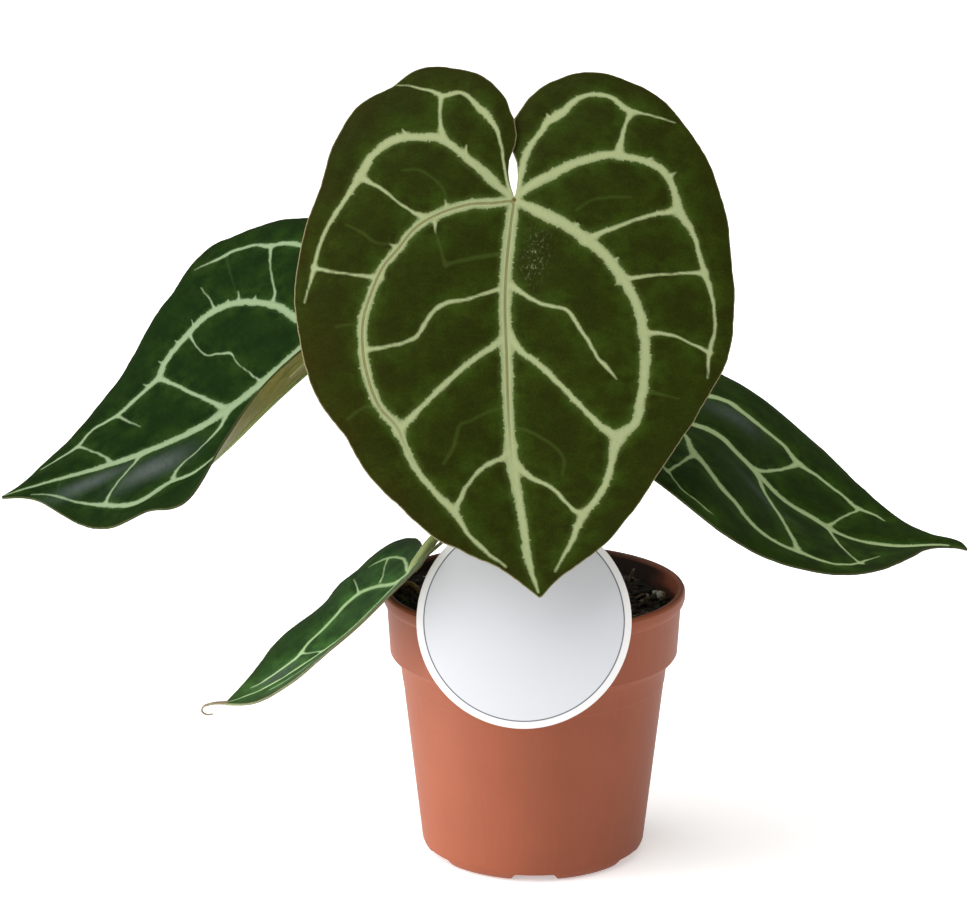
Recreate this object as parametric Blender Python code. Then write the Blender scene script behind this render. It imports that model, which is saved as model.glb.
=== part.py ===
# Potted crystal anthurium: a nursery pot with potting mix, a short crown, four heart-shaped leaves
# on their petioles, and a round plant tag on a stake. Metres, +Z up. The pot's foot rests on z = 0
# with its axis on the origin, and the leaves face the viewer on the -Y side.

import math
import random

import bmesh
import bpy
import numpy as np
from mathutils import Matrix, Vector
from mathutils.bvhtree import BVHTree

MM = 0.001

# Pot, a 12 cm nursery pot (all in mm)
RIM_RADIUS = 60.0
POT_HEIGHT = 109.0
WALL = 1.6
LIP_DROP = 6.0
COLLAR_TOP_RADIUS = 58.4
COLLAR_FOOT_RADIUS = 57.2
COLLAR_FOOT_Z = 82.0
STEP_Z = 78.0
BODY_TOP_RADIUS = 53.2
FOOT_RADIUS = 44.2
FOOT_ROUND = 5.5
FLOOR = 5.0
LATHE_SIDES = 44
CHANNEL_COUNT = 6
CHANNEL_START = 18.0
CHANNEL_WIDTH = 17.0
CHANNEL_HEIGHT = 3.4
DRAIN_RADIUS = 3.5
DRAIN_RING = 30.0

# Potting mix
FIT = 0.35
SOIL_TOP = 101.0
SOIL_BUMP = 1.5
SOIL_WAVES = 7
SOIL_SEED = 7
OPEN_TOP = 120.0

# Crown and petiole feet
CROWN_RADIUS = 8.0
CROWN_BOTTOM = 74.0
CROWN_TOP = 106.0
CROWN_RINGS = 4
FOOT_RING = 13.0
PETIOLE_FOOT_Z = 84.0
PETIOLE_HOLE = 4.3
PETIOLE_FOOT_RADIUS = 3.6

# Leaf blades
BLADE = 0.8
SHEET_COLUMNS = dict(front_leaf=54, left_leaf=42, right_leaf=42, small_leaf=30)
SHEET_ROWS = dict(front_leaf=8, left_leaf=7, right_leaf=7, small_leaf=5)
COLLAR_HOLE = 3.8
SINUS_GAP = 1.5
SINUS_LENGTH = 20.0
SPINE_STEPS = 241
SPINE_EASE = 24

# Petioles and ribs. Each later rib stands a hair apart from the one before, so no faces coincide.
PETIOLE_SIDES = 8
PETIOLE_STEPS = 14
KNOB_EXTRA = 0.5
KNOB_RISE = 0.3
RIB_SIDES = ((-0.5, 0.0), (0.5, 0.0), (0.28, 1.0), (-0.28, 1.0))
RIB_GAP = 0.55
RIB_GAP_STEP = 0.004
RIB_HEIGHT = 1.0
RIB_LEAST_WIDTH = 0.9
MAIN_RIBS = 5
SIDE_RIB_DROP = 0.25
RIB_HEIGHT_STEP = 0.01
RIB_STEP = 10.0
RIB_SUBSTEPS = 4
PROBE = 8.0
THREAD_START = 4.0
THREAD_RADIUS = 0.5

# Plant tag
TAG_CENTRE = Vector((-4.6, -60.3, 112.6))
TAG_RADIUS = 40.5
TAG_THICKNESS = 1.0
TAG_TILT = 17.3
STAKE_WIDTH = 10.0
STAKE_THICKNESS = 1.2
STAKE_TOP = 30.0
STAKE_BEND = 7.0
STAKE_FOOT = Vector((-4.6, -44.5, 60.0))

# Each leaf in mm. spine: the midrib's line in space, from the junction with the petiole to the tip.
# face: the way the upper side looks, at the junction, half way and at the tip. bend: at a distance
# along the midrib, how many degrees that half rises from it, and how many more for each 10 mm
# outwards. outline: flat points (across, along) from the sinus round the lobe to the tip.
# ribs: flat points (across, along, width), main ribs first. thread: the dry curl past the tip.
# plus is the half on the right of the midrib, looking at the upper side with the tip down.
FRONT = dict(
    name="front_leaf",
    spine=[(-8.5, -40, 269), (-10.5, -56, 238.5), (-11, -68, 211), (-9, -78, 178.5),
           (-4.5, -83.5, 149), (1, -84, 128.5)],
    face=[(0, -0.93, 0.36), (0, -0.93, 0.36), (0, -0.93, 0.36)],
    bend_plus=[(-60, 4, -2.6), (0, 6, -2.6), (75, 7, -2.6), (150, 4, -1)],
    bend_minus=[(-60, 4, -2.6), (0, 6, -2.6), (75, 7, -2.6), (150, 4, -1)],
    lobe_bend=-0.006, lobe_lift=1.0, wave=0.8, wave_count=17, wave_phase=0.4,
    foot_angle=-90, arrives_below=4.0, petiole_radius=2.3,
    petiole=[(-3, 3, 150), (-7, 1, 215), (-9.5, -14, 255)],
    outline_minus=[(-1.5, -33), (-3, -35.5), (-5.5, -41), (-9.5, -46), (-14, -50), (-19.5, -53),
                   (-25.5, -54.3), (-31, -54.8), (-36.7, -54.4), (-45.3, -50), (-58, -39.5), (-65.5, -29),
                   (-69, -19), (-72.3, -4.5), (-78, 20), (-79.5, 36), (-76.5, 55.5), (-70.3, 72.5),
                   (-60, 86), (-53.5, 97.5), (-43, 109), (-31.5, 121), (-22, 127.3), (-12, 134.3),
                   (-5, 143)],
    outline_plus=[(0.5, -33), (2, -41), (7.5, -48), (12.5, -52), (18, -55), (24.5, -56.8), (31, -56.6),
                  (37, -55.7), (43.5, -53.5), (57, -44), (63.5, -36), (74, -18), (79, -3), (82.5, 16),
                  (84, 37), (83.5, 50), (80, 64.8), (73.5, 77), (67, 89), (53, 108.5), (36, 130),
                  (30.5, 135), (24, 138.6), (12, 143.2), (5.5, 146.4)],
    ribs=[
        [(0, 1, 4), (-0.5, 8, 4.4), (-1, 46, 4.6), (-0.5, 54, 4.7), (-0.3, 84, 4), (-0.4, 99, 4.6),
         (0.3, 111, 3.5), (0.2, 127, 3.1), (-0.4, 133, 3.2), (-0.4, 140, 2), (0, 147.5, 0.8)],
        [(-1, 0.5, 2.6), (-8, 2, 3.8), (-15.5, 3, 4.1), (-21.5, 5, 4), (-27, 7.5, 3.8), (-35.5, 13.5, 3.3),
         (-42, 22.5, 3.1), (-46, 27.5, 3.3), (-50.5, 38, 3.4), (-53, 47, 3.7), (-53, 57, 3.5),
         (-51, 67, 3.5), (-47, 76.5, 3.2), (-41, 83.5, 3.8), (-38.5, 90, 2.6), (-35.5, 97, 2.4),
         (-29, 106.5, 2.1), (-23.5, 113, 2.6), (-20.5, 120, 1.6), (-16, 126.5, 1.3), (-9, 135, 0.7)],
        [(1, 0.5, 2.8), (9, 4, 4.4), (19, 8.5, 4.3), (28, 14, 4.6), (36.5, 21.5, 3.9), (40.5, 27, 4.1),
         (46.5, 37.5, 3.7), (50, 51, 3.8), (50.3, 63, 3.7), (48.5, 76.5, 3.5), (45, 88, 3.6),
         (38.5, 93.5, 4.6), (36.5, 99, 3.1), (33.5, 109, 2.5), (28, 117, 2.5), (23, 121.5, 3),
         (17.5, 130.5, 1.9), (8, 141.5, 0.8)],
        [(-1, -1, 2), (-7, -5.5, 3.4), (-12, -10, 3.9), (-18, -14.5, 3.3), (-23.5, -19, 2.9),
         (-28, -22, 3.5), (-36.5, -22.7, 3.2), (-45.5, -21.5, 3.5), (-53, -15.5, 2.9), (-57.5, -7, 3.5),
         (-61.5, 1, 2.1), (-66.5, 10, 1.7), (-71.5, 22.5, 1.3), (-72.7, 30, 1.4), (-75.5, 41, 0.6)],
        [(1, -1, 2.2), (5, -5, 3.6), (13.5, -10.5, 3.6), (24, -16.7, 3.4), (33.5, -20, 3.3),
         (45, -19.5, 2.7), (54, -16.5, 2.9), (59, -9, 2.5), (61.2, -0.5, 3.8), (66.5, 7, 2.1),
         (70.5, 17, 1.9), (72, 22.5, 2.3), (75.5, 34, 1.4), (76.6, 46.5, 1.2), (74.7, 57, 1.4),
         (73.5, 69.5, 0.6)],
        [(-1, -1.5, 1.3), (-3.3, -10, 1.3), (-5.5, -18.5, 1.1), (-7.2, -24.5, 1.2), (-9, -29, 1.9),
         (-14, -35, 3), (-17, -38.5, 2.2), (-22.5, -42.8, 1.5), (-29.5, -41, 2.3), (-34, -43, 1.3),
         (-40, -45, 0.6)],
        [(1, -2, 1.6), (2.8, -13, 2.1), (5.5, -23, 2.1), (8.5, -28.5, 2.1), (10.5, -32.5, 3.1),
         (13.2, -34.6, 4), (16, -37, 3.3), (21.5, -43.5, 2.2), (28, -46.2, 2), (34, -45.5, 1.9),
         (41.5, -40, 2.4), (45, -39.7, 1.3), (52, -39, 0.9), (59, -37.7, 0.4)],
        [(-29.6, -40, 1.8), (-29.6, -32, 1.1), (-28.8, -26, 2), (-28.2, -22.5, 3.4)],
        [(41.5, -39.5, 2.3), (39.7, -33, 1.4), (38.7, -27, 2), (38, -23, 3.2), (37.8, -20.5, 3.8)],
        [(-32, 9.7, 2.4), (-36, 8, 1.5), (-48.5, -0.5, 1.2), (-53.5, -3.7, 1.7), (-57.5, -6, 3)],
        [(-47.5, 32, 2.6), (-52, 32, 1.3), (-60, 31, 0.8), (-70.5, 29.3, 1.2), (-73, 28.5, 1.6)],
        [(27, 14.7, 3.8), (32, 11.5, 2.2), (38.5, 8.2, 1.5), (51, 2.5, 1.5), (57, 0.5, 2.3),
         (61, -0.5, 3.4)],
        [(41, 28.5, 3.4), (45.5, 28, 1.9), (53, 26.2, 1.1), (63.5, 24.3, 1.1), (69, 23.4, 1.6),
         (72, 23, 2.4)],
        [(49.5, 50, 3.2), (54, 50, 1.8), (60, 50.5, 1.2), (68.5, 54.2, 1.1), (74.7, 57.2, 2)],
        [(0, 33.5, 2.6), (-5, 35.2, 1.5), (-15.5, 39.3, 1.2), (-23, 41, 1.4), (-27.5, 44, 1.4),
         (-34, 53.4, 1.3), (-39, 55.4, 1.1), (-49.5, 57, 1.4), (-53, 57, 2)],
        [(0.5, 33, 2.8), (6, 36.4, 1.8), (12, 39.8, 1.4), (21, 42, 1.4), (27, 50, 1.4), (33.5, 61, 1.2),
         (36.7, 65, 1.4), (39.7, 69.2, 0.5)],
        [(0, 52, 4), (-4.5, 55.5, 2.5), (-13, 61.3, 2.1), (-24, 70.3, 1.9), (-34, 78.8, 2.1),
         (-38, 82, 2.6), (-41, 84.5, 3.6)],
        [(0.5, 52, 4), (4, 57, 2.7), (12, 63.5, 2.1), (24, 76.8, 2), (32.5, 87, 2.3), (36.5, 91, 3.4),
         (39.5, 93.5, 4.4)],
        [(0, 93, 3.6), (-2.5, 95.7, 2.2), (-11, 99.1, 1.5), (-18, 105.6, 1.4), (-23.3, 113, 2.2)],
        [(0, 98.5, 3.6), (5, 104, 2), (13, 109.7, 1.4), (19.7, 119.2, 1.6), (23, 122, 2.6)],
    ],
    thread=[],
)
LEFT = dict(
    name="left_leaf",
    spine=[(-80, 31, 209), (-92.5, 26, 198.5), (-112, 19.5, 182.5), (-137, 14.8, 167),
           (-167.5, 11, 154.4), (-194.5, 6.5, 147.2), (-211, 2.5, 143.5)],
    face=[(-0.43, -0.07, 0.9), (-0.38, -0.25, 0.89), (-0.43, -0.07, 0.9)],
    bend_plus=[(-60, -16, 12), (0, -16, 12), (45, -15.5, 12), (60, -10, 8), (78, -4, 3),
               (96, 1, 0.7), (115, -6, 0.4), (135, -12, 0.2), (151, -6, 0)],
    bend_minus=[(-60, 21, 0.5), (0, 21, 0.5), (75, 10, 0), (151, 5, -0.4)],
    lobe_bend=-0.005, lobe_lift=0.0, wave=1.2, wave_count=13, wave_phase=1.1,
    foot_angle=165, arrives_below=6.0, petiole_radius=2.2,
    petiole=[(-27, 13, 140), (-56, 28, 184), (-75, 35, 201)],
    outline_minus=[(-2.5, -26), (-9, -42), (-25, -49), (-45, -41), (-64.5, -24.5), (-74, -17.5),
                   (-80.5, -11), (-86.5, -3.5), (-90.5, 3.5), (-91, 17.5), (-88.7, 35), (-86, 58),
                   (-82.5, 68), (-77.5, 78.5), (-71, 87.5), (-62, 95), (-49.5, 106.5), (-32.5, 123.5),
                   (-22.5, 132.5), (-8.5, 142)],
    outline_plus=[(2.5, -26), (8, -38), (20, -44), (34, -40), (44, -28), (50, -10), (54, 12),
                  (57, 43), (60.5, 58), (66, 72), (70, 80), (67.5, 85.5), (61.5, 92.5), (59, 101),
                  (54, 110), (42, 120.3), (24, 130.5), (8, 140.5)],
    ribs=[
        [(0, 1, 4.6), (0, 44, 4.3), (0.8, 57, 4.9), (1, 70, 4.3), (0.3, 83, 4.3), (-0.2, 96, 4.4),
         (-1, 107, 3.7), (-2, 125, 2.8), (-2, 141, 1.6), (-1, 150, 0.8)],
        [(-1, 0, 3), (-13, 8, 3.4), (-29.5, 9.5, 3.4), (-38, 12, 3.4), (-45, 15.5, 3.5), (-51, 20, 3.7),
         (-55, 25, 3.8), (-58, 31.5, 3.9), (-59.2, 40, 3.9), (-58.7, 50, 3.9), (-57, 59, 3.8),
         (-54.5, 66, 3.6), (-51, 71.5, 3.5), (-45.7, 76, 4), (-43.3, 82, 2.9), (-40.5, 89.5, 2.5),
         (-36, 98, 2.4), (-35, 104, 1.9), (-34.5, 109.5, 1.6), (-31.5, 113.5, 1.5), (-26, 117.7, 1.9),
         (-22, 125, 1.4), (-17.5, 133.5, 0.8)],
        [(1, 0, 3), (20, 5, 3), (36, 24, 3), (42, 48, 2.8), (40, 67, 2.8), (39.3, 76.6, 3.2),
         (37.5, 82, 3), (39.5, 87.5, 3), (44.5, 92, 3.8), (46.7, 96.5, 4.4), (44, 101.3, 3.4),
         (38, 106.7, 2.4), (31.5, 112, 2.5), (24.7, 118.5, 1.5), (17.2, 125.3, 1.1), (12.1, 129.3, 1.5),
         (8.5, 133.4, 1.1), (5.2, 139.2, 0.8)],
        [(-1, -1, 2.4), (-20, -13, 2.4), (-40, -17, 2.2), (-52.5, -15, 2.1), (-62, -10.7, 2),
         (-66, -7, 2.1), (-72, -4.5, 1.5), (-76.5, -1, 1.6), (-79.5, 3.5, 1.8), (-81, 9, 1.7),
         (-84.5, 17, 0.9), (-87, 22.5, 0.4)],
        [(1.5, -1, 2), (14, -24, 1.8), (30, -22, 1.6), (42, 0, 1.4), (47, 30, 1.2)],
        [(-66, -7.5, 1.6), (-57.5, -2.5, 0.8), (-47.5, 2.5, 0.8), (-40, 5.8, 1.2), (-36.5, 9, 2)],
        [(-58, 29.5, 2), (-62, 28.5, 1), (-69, 27.3, 0.7), (-75.5, 26.7, 0.4)],
        [(-58, 51, 2.2), (-53, 51.7, 1.2), (-48, 51.7, 0.9), (-43, 51, 0.9), (-38.5, 49.5, 1),
         (-33.5, 44, 1.2), (-29, 39.6, 1.4), (-26.5, 39.3, 0.8), (-22.5, 40, 0.6), (-12.5, 39, 0.6),
         (-4.5, 38, 1), (-1, 37.2, 1.8)],
        [(-45, 76, 3.4), (-40, 73.2, 2.5), (-35.5, 70.7, 1.9), (-24.7, 65.7, 1.8), (-13.5, 60.5, 1.8),
         (-7, 57.8, 2.3), (-2, 55.8, 3.4)],
        [(-35.5, 99.7, 2), (-31, 97.3, 1.2), (-26, 94.8, 0.9), (-19.3, 91, 0.5)],
        [(-25.5, 117.8, 2), (-20, 114.3, 1.1), (-14.5, 111.3, 1), (-7, 107.5, 1.3), (-2, 105.8, 2.2)],
        [(1, 55, 3.4), (4.5, 57.3, 2.4), (10.3, 61.8, 1.8), (14.7, 67, 1), (19, 72.5, 0.8),
         (23.2, 78, 0.9), (27, 81, 1.4), (32, 82.7, 1.6), (37, 83.3, 2.4)],
        [(0, 93.5, 2.6), (4, 95.5, 1.6), (11, 100, 1), (18, 104.8, 1), (24, 108.4, 1.1),
         (28, 110.3, 1.6), (31.5, 111.3, 2.4)],
    ],
    thread=[],
)
RIGHT = dict(
    name="right_leaf",
    spine=[(41, 17, 180), (62.5, 13, 170), (73, 11, 166.5), (81, 9, 159), (96.5, 5.5, 143.5),
           (117, 2, 131.2), (129.5, 0.5, 126), (145.5, -1.5, 124), (162, -3.5, 125.8), (171, -5, 124.3)],
    face=[(0.4, 0.11, 0.91), (0.39, 0.04, 0.92), (0.39, 0, 0.92)],
    bend_plus=[(-60, 12, 0), (0, 12, 0), (73, 17, -0.7), (146, 7, 0)],
    bend_minus=[(-60, -7, -1.4), (0, -7, -1.4), (73, -5, -1.2), (146, 10, -1.1)],
    lobe_bend=-0.003, lobe_lift=0.0, wave=1.0, wave_count=13, wave_phase=2.2,
    foot_angle=15, arrives_below=6.0, petiole_radius=2.2,
    petiole=[(22, 7, 128), (35, 14, 158), (39.5, 17, 172)],
    outline_minus=[(-2.5, -22), (-9, -36), (-22, -43), (-38, -39), (-56, -24), (-69, -3), (-77, 20.5),
                   (-81.5, 32.5), (-82.2, 45), (-79, 55.5), (-73, 66), (-69, 74), (-65, 84.5),
                   (-60, 95), (-53.5, 103), (-44.5, 112), (-32, 120.5), (-22.5, 126.5), (-12, 131.5),
                   (-4, 137)],
    outline_plus=[(2.5, -22), (9, -36), (22, -42), (40, -38), (58, -26), (72, -8), (79, 10), (78.5, 21),
                  (73.5, 30.5), (69.5, 37), (68.5, 45), (70, 58.5), (69.7, 70), (68.5, 79), (64, 88.5),
                  (56, 98.5), (48, 107.5), (41.5, 112.5), (30, 119), (18.5, 127), (12.5, 135),
                  (7.5, 145)],
    ribs=[
        [(0, 1, 4.4), (1.5, 24, 4.6), (2.8, 30, 4.9), (1.8, 37, 4.8), (-0.3, 44, 5), (0.5, 53, 5.4),
         (0.5, 60, 4.9), (-0.8, 67, 4.9), (-1, 75, 4.9), (0, 84, 5), (-1.5, 91, 5.8), (-3, 97, 5),
         (-1.8, 105, 4), (0, 112, 3), (0.5, 121, 2.2), (0.8, 129, 1.7), (1, 140, 1.1)],
        [(1, 0, 2.8), (20, 8, 4.2), (36, 17, 4.8), (42.5, 27, 5), (42.5, 32.5, 4.6), (40, 37, 4.1),
         (39.5, 44, 3.7), (41.5, 53, 3.3), (42.5, 59.5, 3.6), (40, 64, 3.8), (38, 69, 5.4),
         (38, 73.5, 3.8), (38.5, 78.5, 2.8), (36.5, 88, 2.5), (34, 96, 2.4), (30, 101.5, 3.2),
         (29.5, 106, 2.6), (29, 111, 1.9), (25.5, 115, 0.8)],
        [(-1, 0, 2.6), (-10, 14, 2.6), (-20.5, 24, 2.6), (-31, 27.5, 3.2), (-36.7, 30.5, 4.9),
         (-41, 36, 4.1), (-44.7, 41.5, 3.9), (-47.5, 47, 4.2), (-48.3, 55, 3.6), (-51, 60, 3.3),
         (-52.5, 66, 3.1), (-52.5, 73, 2.7), (-51.5, 79, 2.8), (-50, 82.5, 3.8), (-50, 88, 2.6),
         (-49, 94, 2), (-44.5, 99.5, 1.5), (-38.5, 104.5, 1.6), (-31.5, 108.5, 0.9)],
        [(1.5, -1, 1.8), (20, -17, 2.2), (42, -20, 2), (56, -10, 1.4), (64, 4, 0.8), (67, 12, 0.5)],
        [(-1.5, -1, 1.8), (-20, -16, 2), (-40, -12, 1.8), (-56, 8, 1.6), (-65.5, 23.5, 1.3),
         (-71, 28, 0.9), (-75, 34, 1), (-75, 42, 0.9), (-74.3, 47.5, 0.9), (-73, 50.5, 0.4)],
        [(0, 53, 3.4), (5.5, 57, 2.1), (15, 61.3, 1.6), (24, 65, 1.6), (31, 67.4, 2.2), (37.5, 69.2, 3.2)],
        [(30, 103, 2.2), (26, 102, 1.4), (18, 98.3, 1), (10.5, 95, 1), (4, 93, 1.4), (0, 91.5, 2.4)],
        [(-37, 30.5, 3), (-42, 29, 1.9), (-51, 27, 1.4), (-62, 24.3, 1.3), (-66, 23.3, 1.3)],
        [(0.3, 55, 4), (-5, 59, 3), (-10.5, 61.6, 2.5), (-16, 66, 2.4), (-22.3, 70.8, 2.1),
         (-31, 75.5, 1.9), (-39, 79, 1.9), (-45, 81, 2.3), (-50, 82.5, 3.4)],
        [(-1, 90, 3.6), (-6, 92.3, 2.2), (-12, 93.8, 1.5), (-20, 96.3, 1.3), (-28, 99.7, 1.1),
         (-35, 103.2, 1.2), (-38.5, 105.2, 1.8)],
    ],
    thread=[],
)
SMALL = dict(
    name="small_leaf",
    spine=[(-48.5, -28, 122), (-57.5, -35, 114.3), (-70, -41, 103), (-88, -43, 89.8),
           (-107, -45, 78.7), (-119.5, -46, 74.5)],
    face=[(-0.57, 0.1, 0.815), (-0.55, -0.015, 0.83), (-0.53, -0.12, 0.84)],
    bend_plus=[(-60, 8, 0.8), (0, 8, 0.8), (45, 10, 0.8), (89, 4, 0.6)],
    bend_minus=[(-60, 8, 1.3), (0, 8, 1.3), (45, 8, 0.5), (89, 12, 0)],
    lobe_bend=-0.0065, lobe_lift=0.0, wave=0.7, wave_count=9, wave_phase=0.0,
    foot_angle=220, arrives_below=0.0, petiole_radius=1.6,
    petiole=[(-16, -12, 126), (-29, -18, 138), (-38.5, -22.5, 134.5), (-44.5, -26, 127)],
    outline_minus=[(-5, -8.5), (-8.5, -12), (-13.5, -15.7), (-20, -18.7), (-28, -20.3), (-34, -19.2),
                   (-38.5, -16), (-42, -9.5), (-43.8, 1), (-44.5, 13.5), (-43.8, 24), (-42.3, 36),
                   (-38, 47), (-33.5, 58), (-28.3, 65), (-20, 72.3), (-12.5, 78.5), (-5, 84.7)],
    outline_plus=[(6, -8), (10, -14), (16, -18), (24, -17), (31, -10), (35, 4), (33, 22), (31, 38),
                  (27, 55), (21.5, 64), (17, 73), (11, 80), (5, 85)],
    ribs=[
        [(0, 0.5, 2.8), (0, 20, 2.4), (0, 55, 2), (0, 72, 1.4), (0, 87, 0.8)],
        [(0, 3, 3.4), (-3, 6.8, 3.5), (-8.5, 8, 3.2), (-15, 9.5, 3.4), (-20.3, 12.5, 3.7),
         (-23.6, 16.6, 3.9), (-25, 22.3, 3.7), (-24.8, 28, 3.5), (-23.3, 34.5, 3.2), (-21, 40, 2.8),
         (-18.4, 45, 2.4), (-16, 49.5, 2), (-13, 53, 2), (-10, 55.5, 2.6), (-8.3, 59, 2.1),
         (-7.5, 64, 1.8), (-6.3, 68.5, 1.5), (-5.2, 73, 1.1), (-4.5, 78, 0.5)],
        [(1, 0, 2.2), (12, 8, 1.8), (20, 24, 1.6), (17, 46, 1.4), (8, 70, 1)],
        [(-1, -0.5, 2.4), (-4, -1.5, 2.2), (-10, -5, 1.8), (-17.5, -7.5, 1.5), (-25.5, -8, 1.7),
         (-31, -6.5, 1.8), (-34.5, -4, 1.3), (-37, -1.5, 0.5)],
        [(1, -1, 1.6), (9, -9, 1.4), (20, -8, 1.1), (27, 6, 0.9)],
        [(-28.5, -7, 1.4), (-24.2, -2, 0.8), (-19.5, 1.7, 0.8), (-15.5, 6.5, 1.8)],
        [(-23, 16, 2.6), (-27, 13.5, 1.5), (-31, 10.8, 1), (-38, 6.2, 0.5)],
        [(-10.5, 55, 1.6), (-6, 51.5, 0.8), (-3, 48, 0.7), (0, 46, 1.6)],
    ],
    thread=[(-125, -46.5, 74.8), (-127.5, -46.5, 73.8), (-128.3, -46, 72), (-126.8, -45.5, 70.3),
            (-124, -45.5, 70.4)],
)
LEAVES = (FRONT, LEFT, RIGHT, SMALL)

# Colours (linear) and roughness
POT_PAINT = ((0.42, 0.13, 0.075), 0.5)
SOIL_PAINT = ((0.03, 0.018, 0.012), 0.95)
CROWN_PAINT = ((0.1, 0.07, 0.03), 0.8)
BLADE_PAINT = ((0.02, 0.055, 0.012), 0.45)
RIB_PAINT = ((0.36, 0.47, 0.25), 0.5)
TAG_PAINT = ((0.86, 0.87, 0.88), 0.4)


def clear_scene():
    for item in list(bpy.data.objects):
        bpy.data.objects.remove(item, do_unlink=True)


def paint(name, colour_and_roughness):
    colour, roughness = colour_and_roughness
    material = bpy.data.materials.new(name)
    material.use_nodes = True
    shader = material.node_tree.nodes["Principled BSDF"]
    shader.inputs["Base Color"].default_value = (*colour, 1.0)
    shader.inputs["Roughness"].default_value = roughness
    shader.inputs["Metallic"].default_value = 0.0
    return material


def add_object(name, bm, material=None, smooth=True):
    """Turns a bmesh in mm into a named object in metres."""
    bmesh.ops.scale(bm, vec=(MM, MM, MM), verts=bm.verts)
    mesh = bpy.data.meshes.new(name)
    bm.to_mesh(mesh)
    bm.free()
    mesh.polygons.foreach_set("use_smooth", [smooth] * len(mesh.polygons))
    item = bpy.data.objects.new(name, mesh)
    bpy.context.scene.collection.objects.link(item)
    if material is not None:
        mesh.materials.append(material)
    return item


def cut(item, cutter, solver="EXACT"):
    """Takes the cutter out of the item and removes the cutter."""
    boolean = item.modifiers.new("cut", "BOOLEAN")
    boolean.object = cutter
    boolean.solver = solver
    apply_modifiers(item)
    bpy.data.objects.remove(cutter, do_unlink=True)


def apply_modifiers(item):
    bpy.context.view_layer.update()
    graph = bpy.context.evaluated_depsgraph_get()
    mesh = bpy.data.meshes.new_from_object(item.evaluated_get(graph))
    item.modifiers.clear()
    item.data = mesh


def lathe(profile, sides):
    """Spins closed (radius, z) points round Z. Points on the axis close the solid there."""
    bm = bmesh.new()
    verts = [bm.verts.new((radius, 0, z)) for radius, z in profile]
    edges = [bm.edges.new(pair) for pair in zip(verts, verts[1:])]
    if profile[0][0] > 0:
        edges.append(bm.edges.new((verts[-1], verts[0])))
    bmesh.ops.spin(bm, geom=verts + edges, axis=(0, 0, 1), cent=(0, 0, 0),
                   steps=sides, angle=math.tau, use_merge=True)
    bmesh.ops.remove_doubles(bm, verts=bm.verts, dist=0.001)
    bmesh.ops.dissolve_degenerate(bm, dist=0.0005, edges=bm.edges)
    bmesh.ops.recalc_face_normals(bm, faces=bm.faces)
    return bm


def inner_radius(z):
    """The inside of the pot's wall at a height."""
    if z >= COLLAR_FOOT_Z:
        share = (z - COLLAR_FOOT_Z) / (POT_HEIGHT - COLLAR_FOOT_Z)
        outer = COLLAR_FOOT_RADIUS + share * (COLLAR_TOP_RADIUS - COLLAR_FOOT_RADIUS)
    else:
        share = z / STEP_Z
        outer = FOOT_RADIUS + share * (BODY_TOP_RADIUS - FOOT_RADIUS)
    return outer - WALL


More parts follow.
